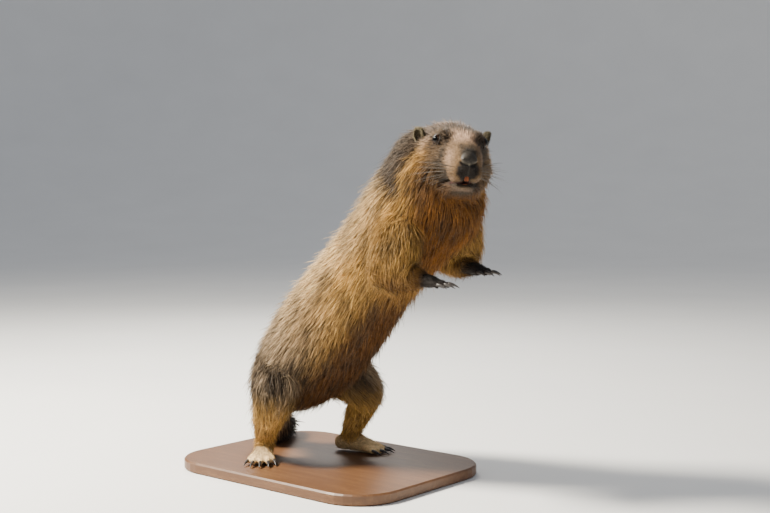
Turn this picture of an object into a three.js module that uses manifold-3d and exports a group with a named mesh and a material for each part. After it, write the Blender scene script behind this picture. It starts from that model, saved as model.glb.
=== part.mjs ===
// An alpine marmot, life size, reared up with its hind feet on the ground and its forearms held
// out level, as if laid on a ledge. It stands on a flat base, and is parted into nodes by thin cuts.
// Millimetres, +Z up. X points the way the trunk faces, Y to the animal's left.

import * as THREE from 'three';
import { LoftGeometry } from 'three/addons/geometries/LoftGeometry.js';
import { mergeVertices } from 'three/addons/utils/BufferGeometryUtils.js';
import Module from 'manifold-3d';

const wasm = await Module();
wasm.setup();

// Driving dimensions
const GAP = 0.3;
const COAT = { core: 5, tail: 8, spill: 3 };
const BASE = { length: 352, width: 262, thickness: 14, corner: 60, bevel: 2, middle: 66 };
const HEAD = { at: [329.7, -52.3, 365.1], turn: -39, nod: 8, roll: -3 };
const HEAD_CUT = { at: [-92, 0, 40], along: [0.92, 0, 0.39] };
const NECK_CUT = { at: [226, 0, 338], along: [0.52, 0, 0.854] };
const EYE = { x: -48.6, y: 26.3, z: 42, radius: 6.8, out: 3, turn: 33, tilt: 18, lid: 1.5 };
const EAR = { x: -83, y: 40, z: 41, height: 10, width: 8, depth: 5.5, turn: 1.2, tip: -0.25, hollow: 0.74, clear: 2 };
const SOLE = { fore_right: 241, fore_left: 250, hind: 0 };
const FACE_LOW = -12;
const FAR = 400;

const COLOURS = {
  torso: 0xa98a55, neck: 0xa67c3d, head: 0x9c8468, lower_jaw: 0xb08a55, tail: 0x5a4630, upper_arm: 0xb8924f,
  forearm: 0xa98143, forepaw: 0x3b3128, thigh: 0x9c7c4c, shank: 0xb8924f, hind_foot: 0xd0b07a,
  ear: 0x7d6b50, eye: 0x0d0a08, stand_base: 0x8a6642,
};

const radians = THREE.MathUtils.degToRad;
const vector = ([x, y, z]) => new THREE.Vector3(x, y, z);

// A closed geometry as a solid, with its faces turned outwards
function solid(geometry) {
  const bare = new THREE.BufferGeometry();
  bare.setAttribute('position', geometry.getAttribute('position'));
  bare.setIndex(geometry.index);
  const merged = mergeVertices(bare, 1e-3);
  const index = merged.index.array;
  const corners = [];
  for (let i = 0; i < index.length; i += 3) {
    const [a, b, c] = [index[i], index[i + 1], index[i + 2]];
    if (a !== b && b !== c && c !== a) corners.push(a, b, c);
  }
  const build = (list) => new wasm.Manifold(new wasm.Mesh({
    numProp: 3,
    vertProperties: merged.attributes.position.array,
    triVerts: new Uint32Array(list),
  }));
  const made = build(corners);
  return made.volume() > 0 ? made : build(corners.reverse());
}

const join = (...pieces) => wasm.Manifold.union(pieces.flat());
const cut = (piece, ...tools) => tools.flat().reduce((rest, tool) => rest.subtract(tool), piece);
const moved = (piece, group) => piece.transform(group.matrix.elements);

// A piece's largest closed surface
function largest(piece) {
  return piece.decompose().reduce((best, one) => (one.volume() > best.volume() ? one : best));
}

function geometryOf(piece) {
  const mesh = piece.getMesh();
  const places = new Float32Array(mesh.numVert * 3);
  for (let i = 0; i < mesh.numVert; i++) {
    places.set(mesh.vertProperties.subarray(i * mesh.numProp, i * mesh.numProp + 3), i * 3);
  }
  const geometry = new THREE.BufferGeometry();
  geometry.setAttribute('position', new THREE.BufferAttribute(places, 3));
  geometry.setIndex(new THREE.BufferAttribute(mesh.triVerts, 1));
  geometry.computeVertexNormals();
  return geometry;
}

// The skin of a form of flesh, which runs through stations { at, size: [wide, up, down], side } and
// has a dome on each end. place(s, angle) is a point on it, s mm along the form, where less than 0 or
// more than its length is on a dome or straight on from it. The angle runs from its left side over its back.
function skin(stations, { grow = 0, dome = 0.8 } = {}) {
  const path = new THREE.CatmullRomCurve3(stations.map((one) => vector(one.at)));
  const sizes = new THREE.CatmullRomCurve3(stations.map((one) => vector(one.size)));
  const sides = new THREE.CatmullRomCurve3(stations.map((one) => vector(one.side ?? [0, 1, 0])));
  const length = path.getLength();
  const frame = (t) => {
    const along = path.getTangent(t);
    const side = sides.getPoint(t);
    const across = side.addScaledVector(along, -side.dot(along)).normalize();
    const upward = new THREE.Vector3().crossVectors(along, across).normalize();
    return { middle: path.getPoint(t), along, across, upward, size: sizes.getPoint(t).addScalar(grow) };
  };
  const at = (t, angle, beyond = 0) => {
    const { middle, along, across, upward, size } = frame(t);
    const scale = Math.sqrt(1 - beyond * beyond);
    const height = Math.sin(angle) * (Math.sin(angle) > 0 ? size.y : size.z);
    return middle
      .addScaledVector(along, beyond * dome * Math.min(size.x, size.y, size.z))
      .addScaledVector(across, Math.cos(angle) * size.x * scale)
      .addScaledVector(upward, height * scale);
  };
  const place = (s, angle) => {
    const t = THREE.MathUtils.clamp(s / length, 0, 1);
    const { size, along } = frame(t);
    const past = s - t * length;
    const reach = dome * Math.min(size.x, size.y, size.z);
    const beyond = THREE.MathUtils.clamp(past / reach, -0.8, 0.8);
    return at(t, angle, beyond).addScaledVector(along, past - beyond * reach);
  };
  const normal = (s, angle) => {
    const middle = frame(THREE.MathUtils.clamp(s / length, 0, 1)).middle;
    const onward = place(s + 1, angle).sub(place(s - 1, angle));
    const round = place(s, angle + 0.02).sub(place(s, angle - 0.02));
    const out = onward.cross(round).normalize();
    return out.dot(place(s, angle).sub(middle)) < 0 ? out.negate() : out;
  };
  const girth = (s) => {
    const { size } = frame(THREE.MathUtils.clamp(s / length, 0, 1));
    return Math.PI * (size.x + (size.y + size.z) / 2);
  };
  return { at, place, normal, girth, frame, length };
}

// A form of flesh as a solid
function flesh(stations, { grow = 0, sides = 18, rows = 12, dome = 0.8, turns = [0.93, 0.75, 0.45] } = {}) {
  const { at } = skin(stations, { grow, dome });
  const ring = (t, beyond = 0) => Array.from(
    { length: sides },
    (_, i) => at(t, (i / sides) * 2 * Math.PI, beyond),
  );
  const rings = [
    ...turns.map((turn) => ring(0, -turn)),
    ...Array.from({ length: rows + 1 }, (_, i) => ring(i / rows)),
    ...[...turns].reverse().map((turn) => ring(1, turn)),
  ];
  return solid(new LoftGeometry(rings, { capStart: true, capEnd: true }));
}

// Whether a point lies well inside a form of flesh
function within(stations, point) {
  const { frame } = skin(stations);
  const depths = Array.from({ length: 13 }, (_, i) => {
    const { middle, along, across, upward, size } = frame(i / 12);
    const away = point.clone().sub(middle);
    const up = away.dot(upward);
    return Math.hypot(away.dot(across) / size.x, up / (up > 0 ? size.y : size.z), away.dot(along) / size.x);
  });
  return Math.min(...depths) < 0.8;
}

// The same row of numbers each time the part is made
let drawn = 20;
function random(spread = 1) {
  drawn = (drawn * 16807) % 2147483647;
  return (drawn / 2147483647 - 0.5) * 2 * spread;
}

// One lock of guard hair: a tapered blade with a ridge, which is rooted under the skin, wraps round it and
// lifts to its tip. It starts at (s, angle), runs towards the form's start or its end, and drifts round it.
function lock(surface, s, angle, { length, width, thick, sink, lift, way, drift }) {
  const outline = [[0, 0], [0.22, 0.85], [0.5, 1], [0.78, 0.64], [1, 0]];
  const rings = outline.map(([t, broad]) => {
    const [place, turn] = [s + way * length * t, angle + drift * t];
    const height = (sink + lift) * Math.sin((t * Math.PI) / 2) - sink;
    const spread = (broad * width * Math.PI) / surface.girth(place);
    return [[-1, -0.4], [0, 0.6], [1, -0.4]].map(([aside, up]) => surface.place(place, turn + aside * spread)
      .addScaledVector(surface.normal(place, turn + aside * spread), height + up * broad * thick));
  });
  return solid(new LoftGeometry(rings));
}

// Rows of locks over a form, each row set between the locks of the row before it
function locks(stations, { from, to, rise, shape, fall = 0, pitch, skip = () => false }, options) {
  const surface = skin(stations, options);
  const made = [];
  const rows = Math.max(1, Math.round((to - from) / pitch.along));
  for (let row = 0; row <= rows; row++) {
    const s = from + ((to - from) * row) / rows;
    const count = Math.round(surface.girth(s) / pitch.round);
    for (let i = 0; i < count; i++) {
      const angle = ((i + (row % 2) / 2 + random(0.16)) / count) * 2 * Math.PI;
      const start = s + random(pitch.along * 0.2);
      const size = 1 + random(0.14);
      const drift = ((random(0.12) - fall * Math.cos(angle)) * shape.length) / (surface.girth(s) / 6.28);
      if (skip(surface.place(start, angle), angle)) continue;
      made.push(lock(surface, start, angle, {
        ...shape, length: shape.length * size, width: shape.width * size, lift: rise + random(1.2), drift,
      }));
    }
  }
  return made;
}

function egg([x, y, z], [length, width, height], { grow = 0, round = 12 } = {}) {
  const geometry = new THREE.SphereGeometry(1, round, Math.round(round * 0.7));
  geometry.scale(length + grow, width + grow, height + grow);
  return solid(geometry.translate(x, y, z));
}

// All that lies ahead of a plane, moved on along its own direction by offset
function ahead({ at, along }, offset = 0) {
  const box = new THREE.BoxGeometry(2 * FAR, 2 * FAR, FAR).translate(0, 0, FAR / 2 + offset);
  const turn = new THREE.Quaternion().setFromUnitVectors(new THREE.Vector3(0, 0, 1), vector(along).normalize());
  return solid(box.applyQuaternion(turn).translate(...at));
}

const ground = ahead({ at: [0, 0, GAP], along: [0, 0, -1] });

// Trunk and neck: one form from the rump to the back of the head, where the neck turns to the right
const headSide = [Math.sin(radians(-HEAD.turn)), Math.cos(radians(HEAD.turn)), 0];
const TRUNK = [
  { at: [-12, 0, 96], size: [52, 42, 42] },
  { at: [12, 0, 116], size: [66, 56, 56] },
  { at: [48, 0, 152], size: [73, 63, 65] },
  { at: [90, 0, 200], size: [72, 62, 66] },
  { at: [134, 0, 246], size: [66, 58, 61] },
  { at: [176, 0, 288], size: [62, 61, 60] },
  { at: [208, 5, 326], size: [66, 65, 65] },
  { at: [230, 6, 354], size: [68, 67, 72], side: [0.1, 1, 0] },
  { at: [246, -7, 386], size: [53, 63, 58], side: headSide },
];
const TRUNK_LOFT = { sides: 20, rows: 15, dome: 0.7 };
const TRUNK_LOCKS = {
  from: 16, to: 356, rise: 5, fall: 0.25, pitch: { along: 49, round: 54 },
  shape: { length: 70, width: 50, thick: 8.5, sink: 5, way: -1 },
};

// Head, in its own frame: x to the nose, y to its left, z up from the mouth
const SKULL = [
  { at: [-2, 0, 18], size: [9, 8, 11] },
  { at: [-7, 0, 19], size: [16, 12.5, 18] },
  { at: [-16, 0, 20], size: [20, 18, 22] },
  { at: [-27, 0, 22], size: [22, 22, 23] },
  { at: [-37, 0, 24], size: [26, 29, 25] },
  { at: [-47, 0, 25], size: [33, 36, 29] },
  { at: [-60, 0, 24], size: [39, 44, 34] },
  { at: [-74, 0, 21], size: [44, 48, 40] },
  { at: [-88, 0, 18], size: [46, 48, 43] },
  { at: [-106, 0, 13], size: [46, 45, 44] },
];
const SKULL_LOFT = { sides: 24, rows: 14 };
const JAW = [
  { at: [-8, 0, -6], size: [9, 4, 5] },
  { at: [-15, 0, -7], size: [14, 6, 7] },
  { at: [-27, 0, -9], size: [18, 8, 9] },
  { at: [-41, 0, -11], size: [25, 11, 12] },
  { at: [-56, 0, -13], size: [33, 13, 15] },
  { at: [-74, 0, -14], size: [38, 15, 19] },
  { at: [-94, 0, -15], size: [38, 17, 22] },
];
const JAW_LOFT = { sides: 16, rows: 6 };
const CHEEK = { at: [-68, 27, 7], size: [27, 18, 23] };
const LIP = { at: [-14, 8, 9.5], size: [14, 12.6, 11.5] };
const BROW = { at: [-48, 21.5, 50.5], size: [14, 8, 4.5], round: 9 };
const CHEEK_LOCKS = {
  from: 52, to: 84, rise: 5, pitch: { along: 14, round: 24 },
  shape: { length: 34, width: 22, thick: 5.5, sink: 4, way: 1 },
};
const NOSE = { at: [-2, 0, 26], size: [6.5, 9, 8.5] };
const NOSTRIL = { at: [3.2, 5, 20.8], size: [4.4, 1.7, 2.4], turn: 0.5, roll: 0.6 };
const MOUTH = { at: [-12, 0, -1.4], size: [16.5, 16, 2.3] };
const CLEFT = [{ at: [2, 0, 4.5], size: [8, 4.2, 6] }, { at: [2.5, 0, 12], size: [4.5, 0.9, 7] }];
const BITE = { at: [-6, 0, 3], size: [9, 5, 9] };
const TEETH = { width: 5.8, depth: 2.6, upper: { x: -2.5, z: 10, height: 10 }, lower: { x: -8.4, z: -9, height: 7 } };

// Legs
const FORE = {
  right: {
    upper: [
      { at: [213, -30, 322], size: [27, 35, 35] },
      { at: [221, -46, 298], size: [27, 35, 35] },
      { at: [225, -58, 274], size: [26, 31, 31] },
      { at: [227, -61, 254], size: [23, 25, 25] },
    ],
    lower: [
      { at: [212, -63, 254], size: [22, 20, 20] },
      { at: [237, -58, 255], size: [18, 17, 17] },
      { at: [257, -52, 253], size: [14, 12, 12] },
    ],
    paw: { at: [253, -53], turn: 14 },
  },
  left: {
    upper: [
      { at: [223, 40, 338], size: [29, 36, 36] },
      { at: [229, 54, 312], size: [29, 38, 38] },
      { at: [230, 65, 285], size: [27, 33, 33] },
      { at: [228, 69, 268], size: [22, 24, 24] },
    ],
    lower: [
      { at: [211, 67, 268], size: [22, 19, 19] },
      { at: [232, 62, 266], size: [18, 16, 16] },
      { at: [249, 56, 262], size: [14, 12, 12] },
    ],
    paw: { at: [245, 55], turn: -4 },
  },
};
const HIND = {
  right: {
    upper: [
      { at: [6, -22, 130], size: [35, 48, 46] },
      { at: [16, -44, 112], size: [31, 47, 43] },
      { at: [28, -61, 92], size: [27, 38, 36] },
      { at: [35, -70, 78], size: [22, 26, 28] },
    ],
    lower: [
      { at: [34, -70, 80], size: [21, 25, 25] },
      { at: [18, -65, 58], size: [17, 20, 22] },
      { at: [5, -57, 34], size: [13, 15, 16] },
      { at: [1, -54, 20], size: [12, 14, 14] },
    ],
    paw: { at: [-3, -52], turn: -50 },
  },
  left: {
    upper: [
      { at: [16, 22, 130], size: [35, 48, 46] },
      { at: [38, 44, 114], size: [31, 45, 43] },
      { at: [62, 60, 96], size: [27, 35, 36] },
      { at: [76, 68, 82], size: [22, 26, 27] },
    ],
    lower: [
      { at: [74, 68, 84], size: [21, 25, 25] },
      { at: [67, 63, 58], size: [17, 20, 22] },
      { at: [58, 58, 34], size: [13, 15, 16] },
      { at: [55, 57, 20], size: [12, 14, 14] },
    ],
    paw: { at: [55, 57], turn: 20 },
  },
};
const LIMB_LOFT = { sides: 14, rows: 5, turns: [0.8] };
const ARM_LOCKS = {
  from: 8, to: 60, rise: 5, pitch: { along: 34, round: 44 },
  shape: { length: 44, width: 34, thick: 6.5, sink: 4.5, way: 1 },
};
const THIGH_LOCKS = {
  from: 8, to: 60, rise: 5, pitch: { along: 36, round: 50 },
  shape: { length: 44, width: 36, thick: 6.5, sink: 4.5, way: 1 },
};
const TAIL = [
  { at: [-36, 0, 92], size: [17, 16, 16] },
  { at: [-52, 4, 66], size: [20, 20, 20] },
  { at: [-58, 14, 36], size: [21, 20, 20] },
  { at: [-68, 36, 22], size: [21, 19, 19] },
  { at: [-84, 64, 19], size: [18, 17, 17] },
  { at: [-90, 80, 17], size: [14, 13, 13] },
];
const TAIL_CUT = { at: [-58, 14, 36], along: [-0.3, 0.66, -0.69] };
const TAIL_LOFT = { sides: 10, rows: 8, turns: [0.8] };
const TAIL_LOCKS = {
  from: 18, to: 122, rise: 8, pitch: { along: 36, round: 34 },
  shape: { length: 46, width: 28, thick: 7, sink: 4.5, way: 1 },
};

// A group at a place, turned about Z, then nodded and rolled
function placed(parent, [x, y, z], turn, nod = 0, roll = 0) {
  const group = new THREE.Group();
  group.position.set(x, y, z);
  group.rotation.set(radians(roll), radians(nod), radians(turn), 'ZYX');
  parent.add(group);
  group.updateMatrix();
  return group;
}

// Head
const bothSides = (make) => [make(1), make(-1)];
const eyeball = (side, grow = 0) => egg(
  [EYE.x, side * EYE.y, EYE.z],
  [EYE.radius, EYE.radius, EYE.radius],
  { grow, round: 12 },
);
const paired = ({ at: [x, y, z], size, round }, side, grow = 0) => egg([x, side * y, z], size, { grow, round });

// The rim of the lids, set round the eye where it comes out of the head
function lids(side) {
  const [turn, tilt] = [radians(EYE.turn), radians(EYE.tilt)];
  const facing = new THREE.Vector3(
    Math.sin(turn) * Math.cos(tilt),
    side * Math.cos(turn) * Math.cos(tilt),
    Math.sin(tilt),
  );
  const rim = new THREE.TorusGeometry(Math.sqrt(EYE.radius ** 2 - EYE.out ** 2), EYE.lid, 5, 14);
  rim.applyQuaternion(new THREE.Quaternion().setFromUnitVectors(new THREE.Vector3(0, 0, 1), facing));
  const middle = new THREE.Vector3(EYE.x, side * EYE.y, EYE.z).addScaledVector(facing, EYE.out);
  return solid(rim.translate(...middle));
}

function nostril(side) {
  const pit = new THREE.SphereGeometry(1, 7, 5);
  pit.scale(...NOSTRIL.size);
  pit.rotateZ(side * NOSTRIL.turn);
  pit.rotateX(side * NOSTRIL.roll);
  const [x, y, z] = NOSTRIL.at;
  return solid(pit.translate(x, side * y, z));
}

// The cup of one ear: an upright oval shell, open to the front and side
function earCup(side) {
  const shell = (scale, ahead) => solid(new THREE.SphereGeometry(1, 12, 8)
    .scale(EAR.depth * scale, EAR.width * scale, EAR.height * scale)
    .translate(ahead, 0, ahead / 6)
    .rotateZ(side * EAR.turn)
    .rotateX(side * EAR.tip)
    .translate(EAR.x, side * EAR.y, EAR.z));
  return shell(1, 0).subtract(shell(EAR.hollow, EAR.depth * EAR.hollow));
}

// The forms of the upper head that its lower jaw shuts against
const muzzle = (grow) => join(
  flesh(SKULL, { ...SKULL_LOFT, grow }),
  [CHEEK, LIP].flatMap((form) => bothSides((side) => paired(form, side, grow))),
);

function skull(grow = 0) {
  return join(muzzle(grow), egg(NOSE.at, NOSE.size, { grow }), bothSides((side) => paired(BROW, side, grow)));
}

// Locks on the cheeks, which lie back towards the neck
function cheekLocks() {
  const aside = (point) => Math.abs(point.y) < 34 || point.z > 30 || point.z < -4;
  const fur = locks(SKULL, { ...CHEEK_LOCKS, skip: aside }, {});
  const clear = bothSides((side) => egg([EAR.x, side * EAR.y, EAR.z], [EAR.depth, EAR.width, EAR.height], { grow: EAR.clear }));
  return cut(join(fur).intersect(faceZone), clear);
}

// A pair of gnawing teeth, side by side, with a notch between their tips
function frontTeeth({ x, z, height }, tip) {
  const half = TEETH.width / 2;
  const outline = new THREE.Shape();
  outline.moveTo(-half, 0);
  outline.lineTo(half, 0);
  outline.lineTo(half * 0.9, height);
  outline.lineTo(half * 0.07, height * 0.96);
  outline.lineTo(0, height * 0.6);
  outline.lineTo(half * -0.07, height * 0.96);
  outline.lineTo(half * -0.9, height);
  const pair = new THREE.ExtrudeGeometry(outline, { depth: TEETH.depth, bevelEnabled: false });
  pair.rotateX(Math.PI / 2);
  pair.rotateZ(Math.PI / 2);
  pair.rotateY(tip);
  return solid(pair.translate(x, 0, z));
}

const mouthSlit = egg(MOUTH.at, MOUTH.size, { round: 10 });
const lipCleft = join(CLEFT.map(({ at, size }) => egg(at, size, { round: 7 })));

function upperHead() {
  const pits = [mouthSlit, lipCleft, bothSides((side) => eyeball(side, GAP)), bothSides(nostril)].flat();
  const bare = cut(join(skull(), bothSides(lids)), pits);
  return join(bare, frontTeeth(TEETH.upper, Math.PI));
}

function lowerJaw() {
  const bare = cut(flesh(JAW, JAW_LOFT), muzzle(GAP), mouthSlit, egg(BITE.at, BITE.size));
  return join(largest(bare), frontTeeth(TEETH.lower, 0));
}

// Feet, each in its own frame: x to the toes, z up, the sole at z = 0
const PALM = [
  { at: [-4, 0, 12], size: [13, 11, 11] },
  { at: [10, 0, 10], size: [14, 9, 9] },
  { at: [24, 0, 8], size: [14.5, 7.5, 7.5] },
];
const FORE_TOES = {
  root: 20,
  radius: 4.6,
  each: [
    { y: 9.5, reach: 42, spread: 10 },
    { y: 3.4, reach: 47, spread: 3 },
    { y: -3.2, reach: 46, spread: -4 },
    { y: -9.5, reach: 40, spread: -12 },
  ],
};
const HEEL = [
  { at: [-18, 0, 10.6], size: [10, 11, 11] },
  { at: [0, 0, 13], size: [12, 14, 13] },
  { at: [18, 0, 10.6], size: [14, 11, 11] },
  { at: [32, 0, 7.6], size: [16.5, 8, 8] },
];
const HIND_TOES = {
  root: 26,
  radius: 5,
  each: [
    { y: 13, reach: 42, spread: 17 },
    { y: 7, reach: 52, spread: 8 },
    { y: 0, reach: 54.5, spread: 0 },
    { y: -7, reach: 52, spread: -8 },
    { y: -13, reach: 43, spread: -18 },
  ],
};
const CLAW = { length: 11, radius: 2.3, drop: 4.2 };

// A toe and its curved, tapered claw, which ends just off the ground
function toe({ root, radius }, { y, reach, spread }) {
  const lean = Math.tan(radians(spread));
  const at = (x, z) => [x, y + (x - root) * lean, z];
  const finger = flesh([
    { at: at(root, radius + 2.6), size: [radius, radius, radius] },
    { at: at((root + reach) / 2, radius + 2), size: [radius, radius, radius] },
    { at: at(reach - radius, radius * 0.75), size: [radius * 0.86, radius * 0.8, radius * 0.8] },
  ], { sides: 6, rows: 2, dome: 0.9, turns: [0.7] });
  const base = reach - radius * 0.6;
  const taper = (scale) => [CLAW.radius * scale * 0.8, CLAW.radius * scale, CLAW.radius * scale];
  const claw = flesh([
    { at: at(base, CLAW.drop + 1.4), size: taper(1) },
    { at: at(base + CLAW.length * 0.55, CLAW.drop + 0.8), size: taper(0.7) },
    { at: at(base + CLAW.length, 1.2), size: taper(0.2) },
  ], { sides: 4, rows: 2, turns: [] });
  return join(finger, claw);
}

const foot = (base, toes, rows) => join(
  flesh(base, { sides: 11, rows, turns: [0.7] }),
  toes.each.map((one) => toe(toes, one)),
);

// The animal stands behind the middle of its base, so that its weight falls well inside
const animal = new THREE.Group();
animal.position.set(-BASE.middle, 0, BASE.thickness);
const headGroup = placed(animal, HEAD.at, HEAD.turn, HEAD.nod, HEAD.roll);
const parts = {};

const headForm = (grow) => join(
  flesh(SKULL, { ...SKULL_LOFT, grow }),
  flesh(JAW, { ...JAW_LOFT, grow }),
  bothSides((side) => paired(CHEEK, side, grow)),
).intersect(ahead(HEAD_CUT, -grow));
const faceZone = ahead({ at: [0, 0, FACE_LOW], along: [0, 0, 1] });
const faceSpace = ahead({ at: [0, 0, FACE_LOW - GAP], along: [0, 0, 1] }).intersect(ahead(HEAD_CUT, -GAP));
const headSpace = moved(join(headForm(GAP), faceSpace), headGroup);

const legs = (side) => ({
  upper_arm: FORE[side].upper, forearm: FORE[side].lower, thigh: HIND[side].upper, shank: HIND[side].lower,
});
const limb = (side, name, grow) => flesh(legs(side)[name], { ...LIMB_LOFT, grow });
const trunkForm = (grow = 0) => flesh(TRUNK, { ...TRUNK_LOFT, grow });
const tailForm = (grow = 0) => flesh(TAIL, { ...TAIL_LOFT, grow });
const covered = (point) => ['right', 'left'].some((side) => ['upper_arm', 'thigh']
  .some((name) => within(legs(side)[name], point)));
const roots = { grow: -COAT.core };

// Coats and cores: a coat's locks stop short of the flesh beside it, and cores meet face to face
const sunk = GAP - COAT.core;
const clear = GAP + COAT.spill;
const limbSpace = join(['right', 'left'].flatMap((side) => ['upper_arm', 'thigh'].map((name) => limb(side, name, clear))));
const trunkLocks = join(locks(TRUNK, { ...TRUNK_LOCKS, skip: covered }, { ...roots, dome: TRUNK_LOFT.dome }));
const trunkCoat = join(trunkForm(-COAT.core), cut(trunkLocks, limbSpace, tailForm(clear)));
parts.torso = cut(trunkCoat, ahead(NECK_CUT, -GAP / 2));
parts.neck = cut(trunkCoat.intersect(ahead(NECK_CUT, GAP / 2)), headSpace);

for (const side of ['right', 'left']) {
  const forePlace = placed(animal, [...FORE[side].paw.at, SOLE[`fore_${side}`]], FORE[side].paw.turn);
  const hindPlace = placed(animal, [...HIND[side].paw.at, SOLE.hind], HIND[side].paw.turn);
  const hidden = (point) => within(TRUNK, point);
  for (const [upper, lower, coat] of [['upper_arm', 'forearm', ARM_LOCKS], ['thigh', 'shank', THIGH_LOCKS]]) {
    const fur = join(locks(legs(side)[upper], { ...coat, skip: hidden }, roots));
    parts[`${upper}_${side}`] = join(
      cut(limb(side, upper, -COAT.core), trunkForm(sunk)),
      cut(fur, trunkForm(clear), limb(side, lower, GAP)),
    );
    parts[`${lower}_${side}`] = cut(limb(side, lower, 0), trunkForm(clear), limb(side, upper, sunk));
    const [paw, place] = upper === 'thigh'
      ? [foot(HEEL, HIND_TOES, 4), hindPlace] : [foot(PALM, FORE_TOES, 3), forePlace];
    const name = upper === 'thigh' ? 'hind_foot' : 'forepaw';
    parts[`${name}_${side}`] = cut(moved(paw, place), limb(side, lower, GAP), limb(side, upper, clear));
  }
  parts[`hind_foot_${side}`] = cut(parts[`hind_foot_${side}`], ground);
}
const tailCoat = cut(join(
  cut(tailForm(-COAT.tail), trunkForm(sunk)),
  cut(join(locks(TAIL, TAIL_LOCKS, { grow: -COAT.tail })), trunkForm(clear)),
), ground);
parts.tail_root = cut(tailCoat, ahead(TAIL_CUT, -GAP / 2));
parts.tail_end = tailCoat.intersect(ahead(TAIL_CUT, GAP / 2));

function show(parent, name, geometry, roughness = 0.9) {
  const kind = name.replace(/_(left|right|root|end)$/, '');
  const look = new THREE.MeshStandardMaterial({ color: COLOURS[kind], roughness, metalness: 0 });
  const mesh = new THREE.Mesh(geometry, look);
  mesh.name = name;
  parent.add(mesh);
}

for (const [name, piece] of Object.entries(parts)) show(animal, name, geometryOf(largest(piece)));

const headZone = ahead(HEAD_CUT);
const furred = join(upperHead(), cheekLocks()).intersect(headZone);
show(headGroup, 'head', geometryOf(largest(furred)));
show(headGroup, 'lower_jaw', geometryOf(largest(lowerJaw().intersect(headZone))));
for (const [name, side] of [['left', 1], ['right', -1]]) {
  show(headGroup, `eye_${name}`, geometryOf(eyeball(side)), 0.08);
  show(headGroup, `ear_${name}`, geometryOf(largest(cut(earCup(side), skull(GAP)))));
}

// Base: a flat board with rounded corners, its underside centred on the origin
function baseGeometry() {
  const { length, width, thickness, corner, bevel } = BASE;
  const [x, y, r] = [length / 2 - bevel, width / 2 - bevel, corner - bevel];
  const outline = new THREE.Shape();
  outline.moveTo(r - x, -y);
  outline.absarc(x - r, r - y, r, -Math.PI / 2, 0);
  outline.absarc(x - r, y - r, r, 0, Math.PI / 2);
  outline.absarc(r - x, y - r, r, Math.PI / 2, Math.PI);
  outline.absarc(r - x, r - y, r, Math.PI, Math.PI * 1.5);
  const board = new THREE.ExtrudeGeometry(outline, {
    depth: thickness - 2 * bevel, bevelThickness: bevel, bevelSize: bevel, bevelSegments: 1, curveSegments: 4,
  });
  return geometryOf(solid(board.translate(0, 0, bevel)));
}

const marmot = new THREE.Group();
marmot.add(animal);
show(marmot, 'stand_base', baseGeometry(), 0.6);

export default marmot;
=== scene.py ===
# A still model of an alpine marmot, life size, reared up with its forearms held out level, on a flat
# display board. Until a mesh is made, lengths are in millimetres in the animal's own frame: X is the
# way its trunk faces, Y is its left, and Z is up from the soles of its hind feet.

import math

import bpy
import bmesh
import numpy as np
from mathutils import Euler, Matrix, Vector
from mathutils.kdtree import KDTree


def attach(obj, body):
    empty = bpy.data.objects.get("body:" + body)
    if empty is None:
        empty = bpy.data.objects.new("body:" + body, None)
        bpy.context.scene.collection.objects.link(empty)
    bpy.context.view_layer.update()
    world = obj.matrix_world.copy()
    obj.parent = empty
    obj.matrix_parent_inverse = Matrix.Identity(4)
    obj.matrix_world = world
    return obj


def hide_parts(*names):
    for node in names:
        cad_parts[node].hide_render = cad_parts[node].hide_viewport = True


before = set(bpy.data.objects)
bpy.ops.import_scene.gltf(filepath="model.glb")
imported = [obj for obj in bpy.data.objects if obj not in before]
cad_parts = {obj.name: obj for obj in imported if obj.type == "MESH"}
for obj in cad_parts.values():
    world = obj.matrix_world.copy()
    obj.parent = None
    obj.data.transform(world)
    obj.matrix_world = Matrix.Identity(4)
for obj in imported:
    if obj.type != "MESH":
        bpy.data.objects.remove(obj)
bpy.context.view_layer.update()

# The display board is a plain oiled hardwood board with rounded corners. It is sawn from one plank,
# planed and sanded, so its grain runs the long way.
MM = 0.001
BOARD_GRAIN = (2.2, 26.0, 26.0)
BOARD_COLOURS = [(0.30, (0.115, 0.052, 0.022, 1)), (0.52, (0.21, 0.105, 0.045, 1)), (0.75, (0.29, 0.155, 0.07, 1))]


def finish(name, roughness, specular=0.5):
    """A new material and its shader."""
    material = bpy.data.materials.new(name)
    material.use_nodes = True
    shader = material.node_tree.nodes["Principled BSDF"]
    shader.inputs["Roughness"].default_value = roughness
    shader.inputs["Specular IOR Level"].default_value = specular
    return material, shader


def fill(material, node, inputs):
    """Sets a node's inputs, each to a value or to another node's output."""
    for key, value in inputs.items():
        if isinstance(value, bpy.types.NodeSocket):
            material.node_tree.links.new(value, node.inputs[key])
        else:
            node.inputs[key].default_value = value


def add(material, kind, inputs, **settings):
    """Adds a node with its settings and inputs."""
    node = material.node_tree.nodes.new(kind)
    for key, value in settings.items():
        setattr(node, key, value)
    fill(material, node, inputs)
    return node


def ramp(material, factor, stops):
    """A colour ramp's output."""
    node = add(material, "ShaderNodeValToRGB", {"Fac": factor})
    stretch = node.color_ramp.elements
    while len(stretch) < len(stops):
        stretch.new(0.5)
    for element, (place, colour) in zip(stretch, stops):
        element.position = place
        element.color = colour
    return node.outputs["Color"]


def texture(material, scale, detail=4.0, roughness=0.5, coordinates=None, kind="ShaderNodeTexNoise"):
    """A noise texture in the object's own coordinates."""
    place = coordinates or add(material, "ShaderNodeTexCoord", {}).outputs["Object"]
    return add(material, kind, {"Vector": place, "Scale": scale, "Detail": detail, "Roughness": roughness})


def relief(material, shader, height, strength, distance):
    """Bump from a height."""
    bump = add(material, "ShaderNodeBump", {"Height": height, "Strength": strength, "Distance": distance})
    fill(material, shader, {"Normal": bump.outputs["Normal"]})


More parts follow.
